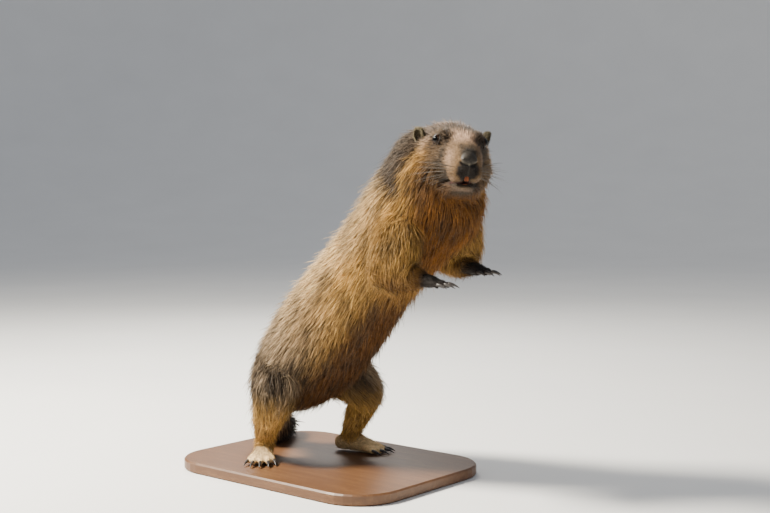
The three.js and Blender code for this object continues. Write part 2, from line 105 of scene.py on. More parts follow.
board, board_shader = finish("oiled_wood", 0.42, 0.4)
grain = add(board, "ShaderNodeMapping", {
    "Vector": add(board, "ShaderNodeTexCoord", {}).outputs["Object"],
    "Scale": BOARD_GRAIN,
})
figure = texture(board, 5.0, 8.0, 0.62, grain.outputs["Vector"])
pores = texture(board, 55.0, 3.0, 0.6, grain.outputs["Vector"])
streaks = add(board, "ShaderNodeMath", {0: figure.outputs["Fac"], 1: pores.outputs["Fac"]}, operation="MULTIPLY_ADD")
streaks.inputs[1].default_value = 0.8
fill(board, streaks, {2: 0.06})
fill(board, board_shader, {"Base Color": ramp(board, streaks.outputs[0], BOARD_COLOURS)})
relief(board, board_shader, pores.outputs["Fac"], 0.25, 0.0004)
board_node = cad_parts["stand_base"]
board_node.data.materials.clear()
board_node.data.materials.append(board)

# The skin is one closed surface over the whole animal. Each form of flesh runs through stations:
# its middle, its half width and half height up and down, and the length of the fur there. The skin
# lies inside the coat's surface by a share of that length.
ROW = np.array([-66.0, 0.0, 14.0])
FUR_DEPTH = 0.18
VOXEL = 2.0
HEAD = {"at": (329.7, -52.3, 365.1), "turn": -39.0, "nod": 8.0, "roll": -3.0}
LEFTWARD = (0.63, 0.78, 0.0)
TRUNK = [
    ((-12, 0, 96), (52, 42, 42), 30),
    ((12, 0, 116), (66, 56, 56), 30),
    ((48, 0, 152), (73, 63, 65), 30),
    ((90, 0, 200), (72, 62, 66), 29),
    ((134, 0, 246), (66, 59, 61), 29),
    ((176, 0, 288), (62, 61, 60), 30),
    ((208, 5, 326), (66, 65, 65), 32),
    ((230, 6, 354), (68, 67, 72), 32, (0.1, 1, 0)),
    ((246, -7, 386), (53, 63, 58), 26, LEFTWARD),
]
SKULL = [
    ((-2, 0, 18), (9, 8, 11), 2),
    ((-7, 0, 19), (16, 12.5, 18), 2.5),
    ((-16, 0, 20), (20, 18, 22), 3),
    ((-27, 0, 22), (22, 22, 23), 4),
    ((-37, 0, 24), (26, 29, 25), 6),
    ((-47, 0, 25), (33, 36, 29), 9),
    ((-60, 0, 24), (39, 44, 34), 13),
    ((-74, 0, 21), (44, 48, 40), 17),
    ((-88, 0, 18), (46, 48, 43), 20),
    ((-106, 0, 13), (46, 45, 44), 24),
]
JAW = [
    ((-8, 0, -6), (9, 4, 5), 3),
    ((-15, 0, -7), (14, 6, 7), 3.5),
    ((-27, 0, -9), (18, 8, 9), 5),
    ((-41, 0, -11), (25, 11, 12), 8),
    ((-56, 0, -13), (33, 13, 15), 13),
    ((-74, 0, -14), (38, 15, 19), 18),
    ((-94, 0, -15), (38, 17, 22), 22),
]
UPPER_ARM = {
    "right": [
        ((213, -30, 322), (27, 35, 35), 26),
        ((221, -46, 298), (27, 35, 35), 26),
        ((225, -58, 274), (26, 31, 31), 26),
        ((227, -61, 254), (23, 25, 25), 26),
    ],
    "left": [
        ((223, 40, 338), (29, 36, 36), 26),
        ((229, 54, 312), (29, 38, 38), 26),
        ((230, 65, 285), (27, 33, 33), 26),
        ((228, 69, 268), (22, 24, 24), 26),
    ],
}
FOREARM = {
    "right": [
        ((212, -63, 254), (22, 20, 20), 24),
        ((237, -58, 255), (18, 17, 17), 16),
        ((257, -52, 253), (14, 12, 12), 8),
    ],
    "left": [
        ((211, 67, 268), (22, 19, 19), 24),
        ((232, 62, 266), (18, 16, 16), 16),
        ((249, 56, 262), (14, 12, 12), 8),
    ],
}
THIGH = {
    "right": [
        ((6, -22, 130), (35, 48, 46), 28),
        ((16, -44, 112), (31, 47, 43), 28),
        ((28, -61, 92), (27, 38, 36), 26),
        ((35, -70, 78), (22, 26, 28), 24),
    ],
    "left": [
        ((16, 22, 130), (35, 48, 46), 28),
        ((38, 44, 114), (31, 45, 43), 28),
        ((62, 60, 96), (27, 35, 36), 26),
        ((76, 68, 82), (22, 26, 27), 24),
    ],
}
SHANK = {
    "right": [
        ((34, -70, 80), (21, 25, 25), 22),
        ((18, -65, 58), (17, 20, 22), 18),
        ((5, -57, 34), (13, 15, 16), 13),
        ((1, -54, 20), (12, 14, 14), 7),
    ],
    "left": [
        ((74, 68, 84), (21, 25, 25), 22),
        ((67, 63, 58), (17, 20, 22), 18),
        ((58, 58, 34), (13, 15, 16), 13),
        ((55, 57, 20), (12, 14, 14), 7),
    ],
}
TAIL = [
    ((-36, 0, 92), (17, 16, 16), 34),
    ((-52, 4, 66), (20, 20, 20), 38),
    ((-58, 14, 36), (21, 20, 20), 40),
    ((-68, 36, 22), (21, 19, 19), 40),
    ((-84, 64, 19), (18, 17, 17), 40),
    ((-90, 80, 17), (14, 13, 13), 40),
]
PALM = [
    ((-4, 0, 12), (13, 11, 11), 7),
    ((10, 0, 10), (14, 9, 9), 6),
    ((24, 0, 8), (14.5, 7.5, 7.5), 5),
]
SOLE = [
    ((-18, 0, 10.6), (10, 11, 11), 6),
    ((0, 0, 13), (12, 14, 13), 7),
    ((18, 0, 10.6), (14, 11, 11), 6),
    ((32, 0, 7.6), (16.5, 8, 8), 5),
]
PAWS = {
    "fore_right": {"at": (253, -53, 241), "turn": 14.0},
    "fore_left": {"at": (245, 55, 250), "turn": -4.0},
    "hind_right": {"at": (-3, -52, 0), "turn": -50.0},
    "hind_left": {"at": (55, 57, 0), "turn": 20.0},
}
FORE_TOES = {"root": 20, "radius": 4.6, "toes": [(9.5, 42, 10), (3.4, 47, 3), (-3.2, 46, -4), (-9.5, 40, -12)]}
HIND_TOES = {
    "root": 26, "radius": 5.0,
    "toes": [(13, 42, 17), (7, 52, 8), (0, 54.5, 0), (-7, 52, -8), (-13, 43, -18)],
}
TOE_SLIM = 0.78
CHEEK = ((-68, 27, 7), (25, 16, 21))
LIP = ((-14, 8, 9.5), (14, 12.4, 11.2))
BROW = ((-48, 21.5, 48.5), (14, 8, 5.5))
NOSE = ((-2, 0, 26), (6.3, 8.8, 8.2))
CLAW = {"length": 11.0, "radius": 2.2, "drop": 4.2}


def line(knots, t):
    """Points at t, 0 to 1, of the smooth line through the knots."""
    knots = np.asarray(knots, float)
    ends = np.vstack([2 * knots[0] - knots[1], knots, 2 * knots[-1] - knots[-2]])
    place = np.clip(np.asarray(t, float), 0, 1) * (len(knots) - 1)
    i = np.minimum(place.astype(int), len(knots) - 2)
    w = (place - i)[:, None]
    a, b, c, d = (ends[i + k] for k in range(4))
    return 0.5 * (2 * b + (c - a) * w + (2 * a - 5 * b + 4 * c - d) * w**2 + (3 * b - 3 * c + d - a) * w**3)


def unit(vectors):
    """Vectors at length 1."""
    return vectors / np.maximum(np.linalg.norm(vectors, axis=-1, keepdims=True), 1e-9)


def sections(form, t):
    """Middles, directions along, across and up, half sizes and fur lengths of a form at t."""
    t = np.asarray(t, float)
    middle = line([one[0] for one in form], t)
    along = unit(line([one[0] for one in form], t + 0.02) - line([one[0] for one in form], t - 0.02))
    side = line([one[3] if len(one) > 3 else (0, 1, 0) for one in form], t)
    across = unit(side - np.sum(side * along, axis=1, keepdims=True) * along)
    size = line([one[1] for one in form], t)
    fur = line([[one[2]] for one in form], t)
    return middle, along, across, np.cross(along, across), size, fur


def shell(form, sides=28, rows=20, dome=0.75):
    """A closed surface of quads over a form, with a dome on each end."""
    domes = [0.97, 0.85, 0.6, 0.3]
    t = np.array([0] * len(domes) + list(np.linspace(0, 1, rows + 1)) + [1] * len(domes), float)
    beyond = np.array([-b for b in domes] + [0] * (rows + 1) + domes[::-1])
    middle, along, across, up, size, fur = sections(form, t)
    size = np.maximum(size - FUR_DEPTH * fur, 1.0)
    reach = (dome * size.min(axis=1) * beyond)[:, None]
    scale = np.sqrt(1 - beyond**2)[:, None, None]
    angle = np.arange(sides) / sides * 2 * math.pi
    height = np.where(np.sin(angle) > 0, size[:, 1:2], size[:, 2:3]) * np.sin(angle)
    width = size[:, 0:1] * np.cos(angle)
    ring = middle[:, None] + (along * reach)[:, None] + scale * (
        width[..., None] * across[:, None] + height[..., None] * up[:, None])
    count = len(t)
    quads = [
        (r * sides + i, r * sides + (i + 1) % sides, (r + 1) * sides + (i + 1) % sides, (r + 1) * sides + i)
        for r in range(count - 1) for i in range(sides)
    ]
    caps = [tuple(range(sides))[::-1], tuple((count - 1) * sides + i for i in range(sides))]
    return ring.reshape(-1, 3), quads + caps


def egg(middle, size, round_=24):
    """A closed egg of quads."""
    rings = round_ // 2
    v = np.linspace(0.04, math.pi - 0.04, rings)
    u = np.arange(round_) / round_ * 2 * math.pi
    points = np.stack([
        np.outer(np.cos(v), np.ones(round_)), np.outer(np.sin(v), np.cos(u)), np.outer(np.sin(v), np.sin(u)),
    ], axis=-1).reshape(-1, 3)
    quads = [
        (r * round_ + i, r * round_ + (i + 1) % round_, (r + 1) * round_ + (i + 1) % round_, (r + 1) * round_ + i)
        for r in range(rings - 1) for i in range(round_)
    ]
    caps = [tuple(range(round_))[::-1], tuple((rings - 1) * round_ + i for i in range(round_))]
    return points * size + middle, quads + caps


def turning(place):
    """The rotation of a head or a paw."""
    angles = [math.radians(place.get(key, 0.0)) for key in ("roll", "nod", "turn")]
    return np.array(Euler(angles, "XYZ").to_matrix())


def set_at(place, points):
    """Points of a head or a paw in the animal's frame."""
    return np.asarray(points, float) @ turning(place).T + np.array(place["at"], float)


def moved(place, piece):
    """A surface of a head or a paw in the animal's frame."""
    return set_at(place, piece[0]), piece[1]


def to_row(points):
    """Points of the animal in metres, on its board."""
    return (np.asarray(points, float) + ROW) * MM


def toe_line(paw, toe, x, z):
    """A point on a toe's own line, x ahead of the paw's middle."""
    y, _, spread = toe
    return (x, y + (x - paw["root"]) * math.tan(math.radians(spread)), z)


def toes(paw):
    """The stations of each toe of one paw."""
    radius = paw["radius"]
    slim = radius * TOE_SLIM
    return [[
        (toe_line(paw, toe, paw["root"], radius + 2.6), (slim, radius, radius), 3),
        (toe_line(paw, toe, (paw["root"] + toe[1]) / 2, radius + 2), (slim, radius, radius), 3),
        (toe_line(paw, toe, toe[1] - radius, radius * 0.75), (slim * 0.95, radius * 0.8, radius * 0.8), 2),
    ] for toe in paw["toes"]]


def joined(name, surfaces):
    """One mesh object of several surfaces."""
    points, faces, start = [], [], 0
    for vertices, polygons in surfaces:
        points.append(vertices)
        faces += [tuple(start + i for i in face) for face in polygons]
        start += len(vertices)
    mesh = bpy.data.meshes.new(name)
    mesh.from_pydata(to_row(np.vstack(points)).tolist(), [], faces)
    mesh.validate()
    thing = bpy.data.objects.new(name, mesh)
    bpy.context.scene.collection.objects.link(thing)
    return thing


def settle(thing):
    """Applies a thing's modifiers to its mesh."""
    bpy.context.view_layer.update()
    graph = bpy.context.evaluated_depsgraph_get()
    mesh = bpy.data.meshes.new_from_object(thing.evaluated_get(graph))
    thing.modifiers.clear()
    thing.data = mesh


def places_of(thing):
    """A thing's vertices as an array, in the animal's frame."""
    flat = np.empty(len(thing.data.vertices) * 3)
    thing.data.vertices.foreach_get("co", flat)
    return flat.reshape(-1, 3) / MM - ROW


def normals_of(thing):
    """A thing's vertex normals as an array."""
    flat = np.empty(len(thing.data.vertices) * 3)
    thing.data.vertex_normals.foreach_get("vector", flat)
    return flat.reshape(-1, 3)


def put_back(thing, points):
    """Moves a thing's vertices to points in the animal's frame."""
    thing.data.vertices.foreach_set("co", to_row(points).ravel())
    thing.data.update()


def smoothed(thing, share, rounds):
    """Evens out a surface, each vertex by its own share."""
    edges = np.empty(len(thing.data.edges) * 2, int)
    thing.data.edges.foreach_get("vertices", edges)
    a, b = edges.reshape(-1, 2).T
    points = places_of(thing)
    count = len(points)
    number = np.maximum(np.bincount(a, minlength=count) + np.bincount(b, minlength=count), 1)[:, None]
    for _ in range(rounds):
        total = np.stack([
            np.bincount(a, points[b, k], count) + np.bincount(b, points[a, k], count) for k in range(3)
        ], axis=1)
        points += share[:, None] * (total / number - points)
    put_back(thing, points)


def spread_of(distance, reach):
    """1 at no distance, falling smoothly to 0 past the reach."""
    return np.exp(-(distance / reach) ** 2)


head_forms = [shell(SKULL, 32, 30), shell(JAW, 28, 18)]
for side in (1, -1):
    for (x, y, z), size in (CHEEK, LIP, BROW):
        head_forms.append(egg((x, side * y, z), size))
head_forms.append(egg(*NOSE))
surfaces = [shell(TRUNK, 48, 40), shell(TAIL, 24, 24)] + [moved(HEAD, form) for form in head_forms]
for side in ("right", "left"):
    for limb in (UPPER_ARM, FOREARM, THIGH, SHANK):
        surfaces.append(shell(limb[side]))
    for end, base, kind in (("fore", PALM, FORE_TOES), ("hind", SOLE, HIND_TOES)):
        paw = [shell(base)] + [shell(toe, 16, 8, 0.9) for toe in toes(kind)]
        surfaces += [moved(PAWS[f"{end}_{side}"], form) for form in paw]
skin = joined("skin", surfaces)
remesh = skin.modifiers.new("one_surface", "REMESH")
remesh.mode = "VOXEL"
remesh.voxel_size = VOXEL * MM
settle(skin)


def in_head(points):
    """Points in the head's own frame: x to the nose, y to its left, z up."""
    return (points - np.array(HEAD["at"])) @ turning(HEAD)


# Bodies of flesh blend into each other under the skin; the face and the toes stay crisp
points = places_of(skin)
face = in_head(points)
paw_middles = np.array([set_at(place, (30, 0, 6)) for place in PAWS.values()])
near_paw = np.min(np.linalg.norm(points[:, None] - paw_middles, axis=2), axis=1)
crisp_face = spread_of(np.linalg.norm(face - (-20, 0, 12), axis=1), 42)
crisp_paw = spread_of(near_paw, 34)
smoothed(skin, 0.55 * (1 - np.maximum(0.72 * crisp_face, 0.94 * crisp_paw)), 26)

# The face is finer meshed, and its nostrils, lips, mouth and the hollows of its eyes are worked in
FACE_REACH = 66
NOSTRIL = [
    ((3.4, 2.6, 20.2), 3.2, 1.5), ((3.0, 4.8, 20.4), 3.8, 1.7), ((1.6, 7.2, 21.2), 3.4, 1.7), ((-0.4, 9.0, 22.6), 2.2, 1.5),
]
EYE = {"at": (-48.6, 26.3, 42.0), "radius": 6.8, "out": 3.0, "turn": 33.0, "tilt": 18.0}
sheet = bmesh.new()
sheet.from_mesh(skin.data)
sheet.verts.ensure_lookup_table()
ahead = np.linalg.norm(in_head(places_of(skin)) - (-20, 0, 14), axis=1) < FACE_REACH
fine = [edge for edge in sheet.edges if all(ahead[v.index] for v in edge.verts)]
bmesh.ops.subdivide_edges(sheet, edges=fine, cuts=1, use_grid_fill=True)
bmesh.ops.triangulate(sheet, faces=[face_ for face_ in sheet.faces if len(face_.verts) > 4])
sheet.to_mesh(skin.data)
sheet.free()
face = in_head(places_of(skin))
in_face = np.linalg.norm(face - (-20, 0, 14), axis=1) < FACE_REACH + 2
smoothed(skin, 0.5 * in_face, 3)


def facing(side):
    """The way an eye looks, in the head's frame."""
    turn, tilt = math.radians(EYE["turn"]), math.radians(EYE["tilt"])
    return np.array([math.sin(turn) * math.cos(tilt), side * math.cos(turn) * math.cos(tilt), math.sin(tilt)])


face = in_head(places_of(skin))
push = np.zeros_like(face)
for side in (1, -1):
    # A nostril: a comma-shaped slit that curls up and out round the nose, with a raised wing above it
    for (x, y, z), depth, reach in NOSTRIL:
        push[:, 0] -= depth * spread_of(np.linalg.norm(face - (x, side * y, z), axis=1), reach)
    wing = spread_of(np.linalg.norm(face - (0.5, side * 7.6, 25.2), axis=1), 3.4)
    push += wing[:, None] * (1.1, side * 0.9, 0.4)
    # The socket: the skin sinks round the eye, and before it towards the bridge
    at = np.array([EYE["at"][0], side * EYE["at"][1], EYE["at"][2]])
    socket = spread_of(np.linalg.norm(face - (at + 5 * facing(side)), axis=1), 8.5)
    hollow = spread_of(np.linalg.norm(face - (-38.5, side * 20.5, 43), axis=1), 7.5)
    push -= (2.4 * socket + 1.8 * hollow)[:, None] * facing(side)
cleft = spread_of(face[:, 1], 0.9) * spread_of(face[:, 2] - 13.0, 6.0) * (face[:, 0] > -8)
bite = spread_of(face[:, 1], 2.9) * spread_of(face[:, 2] - 1.8, 3.6) * (face[:, 0] > -14)
push[:, 0] -= 1.8 * cleft + 6.5 * bite


def lip_line(y):
    """The height of the mouth's line across the face: it falls away to the corners."""
    return -1.2 - 0.021 * y**2


mouth = spread_of(face[:, 2] - lip_line(face[:, 1]), 2.7) * np.clip((face[:, 0] + 34) / 12, 0, 1)
inward = unit(np.stack([face[:, 0] + 20, face[:, 1], 0 * face[:, 2]], axis=1))
push -= 6.0 * mouth[:, None] * inward
face += push
put_back(skin, set_at(HEAD, face))
smoothed(skin, 0.3 * in_face, 1)
skin.data.shade_smooth()

# The lie of the coat and its length come from the forms. Fur runs from the nose over the head and
# back down the trunk, and down each limb and the tail, and gravity draws it a little downwards.
REGIONS = ("trunk", "head", "arm", "leg", "fore_paw", "hind_paw", "tail")
STEPS = np.linspace(0, 1, 15)
DROOP = 0.22
MINGLING = 10.0
EAR = {"at": (-83, 41, 43), "depth": 5.5, "width": 8.0, "height": 10.0, "wall": 1.3, "turn": 1.0, "tip": -0.25}
samples = {"middle": [], "radius": [], "flow": [], "fur": [], "region": [], "way": [], "up": []}


def sample(form, region, way=1, place=None):
    """Adds a form to what the coat follows."""
    middle, along, _, up, size, fur = sections(form, STEPS)
    if place:
        middle = set_at(place, middle)
        along, up = along @ turning(place).T, up @ turning(place).T
    samples["middle"].append(middle)
    samples["radius"].append(size.mean(axis=1))
    samples["flow"].append(along * way)
    samples["fur"].append(fur[:, 0])
    samples["region"].append(np.full(len(STEPS), REGIONS.index(region)))
    samples["way"].append(STEPS)
    samples["up"].append(up)


sample(TRUNK, "trunk", -1)
sample(SKULL, "head", 1, HEAD)
sample(JAW, "head", 1, HEAD)
sample(TAIL, "tail")
for side in ("right", "left"):
    sample(UPPER_ARM[side], "arm")
    sample(FOREARM[side], "arm")
    sample(THIGH[side], "leg")
    sample(SHANK[side], "leg")
    for end, base, kind in (("fore", PALM, FORE_TOES), ("hind", SOLE, HIND_TOES)):
        for form in [base] + toes(kind):
            sample(form, f"{end}_paw", 1, PAWS[f"{end}_{side}"])
samples = {key: np.concatenate(value) for key, value in samples.items()}


def coat_field(points):
    """For each point: the share of each region, the lie, the fur's length, how far along and how high on
    the trunk it is, and how far along its own form."""
    outcome = {key: [] for key in ("share", "flow", "fur", "along", "height", "way")}
    belongs = np.eye(len(REGIONS))[samples["region"]]
    trunk = samples["region"] == 0
    for chunk in np.array_split(points, max(1, len(points) // 20000)):
        away = chunk[:, None] - samples["middle"]
        near = np.linalg.norm(away, axis=2) / samples["radius"]
        weight = np.exp(-MINGLING * (near - near.min(axis=1, keepdims=True)))
        weight /= weight.sum(axis=1, keepdims=True)
        on_trunk = np.exp(-MINGLING * (near[:, trunk] - near[:, trunk].min(axis=1, keepdims=True)))
        on_trunk /= on_trunk.sum(axis=1, keepdims=True)
        rise = np.einsum("ijk,jk->ij", away[:, trunk], samples["up"][trunk])
        outcome["share"].append(weight @ belongs)
        outcome["flow"].append(weight @ samples["flow"])
        outcome["fur"].append((weight @ samples["fur"])[:, None])
        outcome["along"].append(on_trunk @ samples["way"][trunk])
        outcome["height"].append(np.sum(on_trunk * rise / samples["radius"][trunk], axis=1))
        outcome["way"].append(weight @ samples["way"])
    outcome = {key: np.concatenate(value) for key, value in outcome.items()}
    # Round the ears the fur is short, so that they stand clear of it
    place = in_head(points)
    place[:, 1] = np.abs(place[:, 1])
    outcome["fur"] *= 1 - 0.6 * spread_of(np.linalg.norm(place - EAR["at"], axis=1), 19)[:, None]
    outcome["fur"] = outcome["fur"].ravel()
    return outcome


# Markings: grizzled grey-brown over the back and rump, golden flanks and limbs, an orange chest and
# belly, a smoky crown over a tan face with a pale muzzle, cream hind feet and a dark tail. Painted shade
# darkens the haunches, the creases at the shoulder and arms, the hollows before the eyes, the lips under
# the nose, the nostrils, the mouth's line and the chin, and the forepaws are painted near black as shade.
STRAW = (0.76, 0.52, 0.24)
GOLD = (0.54, 0.315, 0.085)
GRIZZLE = (0.42, 0.31, 0.20)
UMBER = (0.055, 0.037, 0.022)
ORANGE = (0.22, 0.085, 0.010)
RUST = (0.12, 0.050, 0.010)
SMOKE = (0.075, 0.056, 0.045)
SLATE = (0.026, 0.022, 0.017)
TAN = (0.18, 0.110, 0.052)
PALE = (0.66, 0.45, 0.32)
# Near black: dark fur round the eyes, and painted shade in hollows, pits and under the nose
BLACK_FUR_AND_SHADE = (0.006, 0.005, 0.005)
CREAM = (0.80, 0.58, 0.31)
# Very dark brown: the tail's tip, and painted shade on the forepaws and in the arm creases
DARK_FUR_AND_SHADE = (0.020, 0.016, 0.014)
PAD = (0.026, 0.021, 0.016)
RIM = (0.14, 0.12, 0.085)


def step(low, high, value):
    """A smooth step from 0 at low to 1 at high."""
    t = np.clip((value - low) / (high - low), 0, 1)
    return t * t * (3 - 2 * t)


def blend(under, over, share):
    """One colour over another."""
    return under + (np.asarray(over) - under) * share[:, None]


def spot(points, at, reach):
    """A soft spot on both sides of the head: 1 at its middle, with its own reach in each direction."""
    away = np.abs(points) * (0, 1, 0) + points * (1, 0, 1) - at
    return np.exp(-np.sum((away / np.asarray(reach, float)) ** 2, axis=1))


def mottled(points, size, seed):
    """Soft random patches of about a size, 0 to 1."""
    grid = np.random.default_rng(seed).random((16, 16, 16))
    place = points / size
    low = np.floor(place).astype(int)
    share = place - low
    share = share * share * (3 - 2 * share)
    total = np.zeros(len(points))
    for corner in np.ndindex(2, 2, 2):
        weight = np.prod(np.where(corner, share, 1 - share), axis=1)
        total += weight * grid[tuple(((low + corner) % 16).T)]
    return total


def markings_and_shade(points, field):
    """The coat's colour at each point, with painted shade laid over it in places."""
    along, height = field["along"], field["height"]
    patches = mottled(points * (1, 1, 0.6), 14, 3)
    trunk = blend(np.tile(GOLD, (len(points), 1)), STRAW, step(-0.15, 0.35, height))
    trunk = blend(trunk, GRIZZLE, 0.8 * step(0.45, 0.85, height))
    trunk = blend(trunk, GRIZZLE, 0.9 * step(0.56, 0.22, along) * step(-0.75, -0.2, height))
    # Dark fur low on the rump, made darker still with painted shade over the haunch
    trunk = blend(trunk, UMBER, 0.85 * step(0.42, 0.24, along) * step(0.1, -0.45, height))
    trunk = blend(trunk, RUST, step(-0.45, -0.85, height) * step(0.75, 0.5, along))
    trunk = blend(trunk, ORANGE, step(-0.25, -0.7, height) * step(0.55, 0.75, along))
    trunk = blend(trunk, SMOKE, 0.95 * step(-0.42, -0.12, height) * step(0.86, 0.93, along))
    trunk = blend(trunk, SMOKE, 0.5 * step(0.25, 0.6, height) * step(0.6, 0.85, along))
    trunk = blend(trunk, UMBER, 0.45 * step(0.55, 0.75, patches))
    # Painted shade: a dark spot in the crease between the neck ruff and the near shoulder
    trunk = blend(trunk, UMBER, 0.7 * spread_of(np.linalg.norm(points - (241, -54, 322), axis=1), 11))
    head_place = in_head(points)
    x, y, z = head_place.T
    side = np.abs(y)
    head = blend(np.tile(TAN, (len(points), 1)), SMOKE, step(-40, -54, x) * step(34, 46, z))
    head = blend(head, SMOKE, 0.9 * step(-84, -96, x) * step(-4, 14, z))
    head = blend(head, GOLD, 0.8 * step(-46, -66, x) * step(30, 8, z) * step(-98, -84, x))
    # Painted shade under the chin and the lower jaw
    head = blend(head, UMBER, 0.95 * step(0, -4, z) * step(-50, -40, x))
    for at, reach, colour, share in FACE_SPOTS:
        head = blend(head, colour, share * spot(head_place, at, reach))
    head = blend(head, ORANGE, 0.9 * step(-20, -48, x) * step(-9, -22, z))
    head = blend(head, UMBER, 0.9 * step(-22, -12, x) * step(27, 33, z) * step(44, 38, z) * step(12, 7, side))
    head = blend(head, UMBER, 0.5 * step(0.5, 0.72, mottled(points, 6, 5)) * step(-30, -50, x))
    # Painted shadow on the front of the lips under the nose, the pad itself, and the paler rim over the nostrils
    lips = np.hypot(side / 13, (z - 12.5) / 11) + 0.25 * (mottled(points, 3, 8) - 0.5)
    head = blend(head, BLACK_FUR_AND_SHADE, 0.96 * step(-17, -9, x) * step(1.15, 0.8, lips))
    pad = step(1.12, 0.9, np.hypot(side / 9.6, (z - 27.5) / 9.2)) * step(-12, -8, x)
    head = blend(head, PAD, pad * step(19.5, 21, z - 0.045 * side**2))
    rim = spread_of(z - 20.6 - 0.045 * side**2, 1.0) * step(9.6, 8, side) * step(-6, -3, x)
    head = blend(head, RIM, 0.8 * rim)
    mirrored = np.stack([x, side, z], axis=1)
    # Painted shade in each nostril pit
    for (at_x, at_y, at_z), deep, reach in NOSTRIL:
        near_pit = np.linalg.norm(mirrored - (at_x - 0.6 * deep, at_y, at_z - 0.3), axis=1)
        head = blend(head, BLACK_FUR_AND_SHADE, spread_of(near_pit, 1.25 * reach))
    # A dark band along the mouth's line: dark lip skin, with painted shade in the crease of the mouth
    head = blend(head, SLATE, 0.9 * spread_of(z - lip_line(y), 4.0) * step(-44, -32, x))
    way = field["way"]
    arm = blend(np.tile(GOLD, (len(points), 1)), RUST, 0.25 + 0.65 * step(0.1, 0.8, way) * step(295, 255, points[:, 2]))
    # The upper leg is dark fur, made darker still with painted shade over the haunch, and turns gold lower down
    leg = blend(np.tile(UMBER, (len(points), 1)), GRIZZLE, 0.6 * step(0.35, 0.65, patches))
    coats = {
        "trunk": trunk,
        "head": head,
        "arm": blend(arm, UMBER, 0.4 * step(0.55, 0.75, patches)),
        "leg": blend(leg, GOLD, step(112, 64, points[:, 2])),
        # The forepaws are painted near black as the shade they lie in
        "fore_paw": np.tile(DARK_FUR_AND_SHADE, (len(points), 1)),
        "hind_paw": blend(np.tile(STRAW, (len(points), 1)), CREAM, step(34, 20, points[:, 2])),
        "tail": blend(np.tile(GRIZZLE, (len(points), 1)), DARK_FUR_AND_SHADE, step(0.15, 0.5, way)),
    }
    colour = sum(coats[name] * field["share"][:, i:i + 1] for i, name in enumerate(REGIONS))
    # Painted shade in the crease low under each arm, where it meets the trunk
    crease_shade = 4 * field["share"][:, 0] * field["share"][:, REGIONS.index("arm")]
    return blend(colour, DARK_FUR_AND_SHADE, 0.55 * crease_shade * step(-0.9, -0.6, height) * step(330, 310, points[:, 2]))


# Each spot on the face: its middle, its reach forwards, sideways and upwards, its colour and strength
FACE_SPOTS = [
    ((-32, 4, 47), (15, 10, 9), PALE, 0.8),
    ((-18, 18, 24), (9, 6, 13), PALE, 0.42),
    ((-80, 12, 60), (12, 20, 10), PALE, 0.4),
    ((-59, 36, 42), (5, 9, 18), PALE, 0.95),
    # Painted shade in the hollow between each eye and the bridge of the nose, over two spots
    ((-33, 18.5, 43), (9, 7.5, 9), BLACK_FUR_AND_SHADE, 0.95),
    ((-44, 19.5, 47), (8, 6, 7), BLACK_FUR_AND_SHADE, 0.95),
    # Dark fur round the eye, with painted shade of the lids in it
    ((-45, 28, 40), (10, 9, 14), BLACK_FUR_AND_SHADE, 0.9),
    ((-55, 20, 52), (9, 9, 7), UMBER, 0.75),
    ((-29, 23, 29), (6, 6, 10), SLATE, 0.9),
    ((-34, 26, 16), (9, 9, 10), SLATE, 0.95),
    ((-31, 19, 5), (8, 6, 8), SLATE, 0.95),
    ((-52, 33, 4), (11, 9, 8), UMBER, 0.8),
    ((-58, 40, 24), (11, 10, 9), GOLD, 0.8),
    ((-8, 14.5, 3.5), (4, 3.5, 2.5), PALE, 0.4),
    ((-12, 2, -9), (8, 10, 2.0), PALE, 0.3),
]


COAT_MAP = "OFBake"
bpy.context.view_layer.objects.active = skin
skin.select_set(True)
skin.data.uv_layers.new(name=COAT_MAP)
bpy.ops.object.mode_set(mode="EDIT")
bpy.ops.mesh.select_all(action="SELECT")
bpy.ops.uv.smart_project(angle_limit=math.radians(66), island_margin=0.002)
bpy.ops.object.mode_set(mode="OBJECT")

skin_points = places_of(skin)
skin_normals = normals_of(skin)
skin_field = coat_field(skin_points)
skin_colours = markings_and_shade(skin_points, skin_field)
UNDERFUR = 0.45
bare = np.maximum(step(7.0, 3.5, skin_field["fur"]), 0.15)
painted = skin.data.color_attributes.new("coat", "FLOAT_COLOR", "POINT")
shown = skin_colours * (UNDERFUR + (1 - UNDERFUR) * bare[:, None])
painted.data.foreach_set("color", np.hstack([shown, np.ones((len(shown), 1))]).ravel())


def fur_finish(name, roughness, strength, scale):
    """A furry finish in the coat's own colours, broken by fine mottling and streaks."""
    material, shader = finish(name, roughness, 0.16)
    colour = add(material, "ShaderNodeAttribute", {}, attribute_name="coat")
    mottle = texture(material, scale, 6.0, 0.7)
    tone = ramp(material, mottle.outputs["Fac"], [(0.3, (0.62, 0.6, 0.58, 1)), (0.68, (1.22, 1.2, 1.16, 1))])
    mixed = add(material, "ShaderNodeMix", {0: 1.0, 6: colour.outputs["Color"], 7: tone}, data_type="RGBA", blend_type="MULTIPLY")
    fill(material, shader, {"Base Color": mixed.outputs[2]})
    shader.inputs["Sheen Weight"].default_value = 0.04
    shader.inputs["Sheen Roughness"].default_value = 0.5
    hairs = texture(material, scale * 4, 4.0, 0.6)
    relief(material, shader, hairs.outputs["Fac"], strength, 0.0006)
    return material


skin.data.materials.append(fur_finish("short_fur_and_skin", 0.75, 0.6, 260.0))

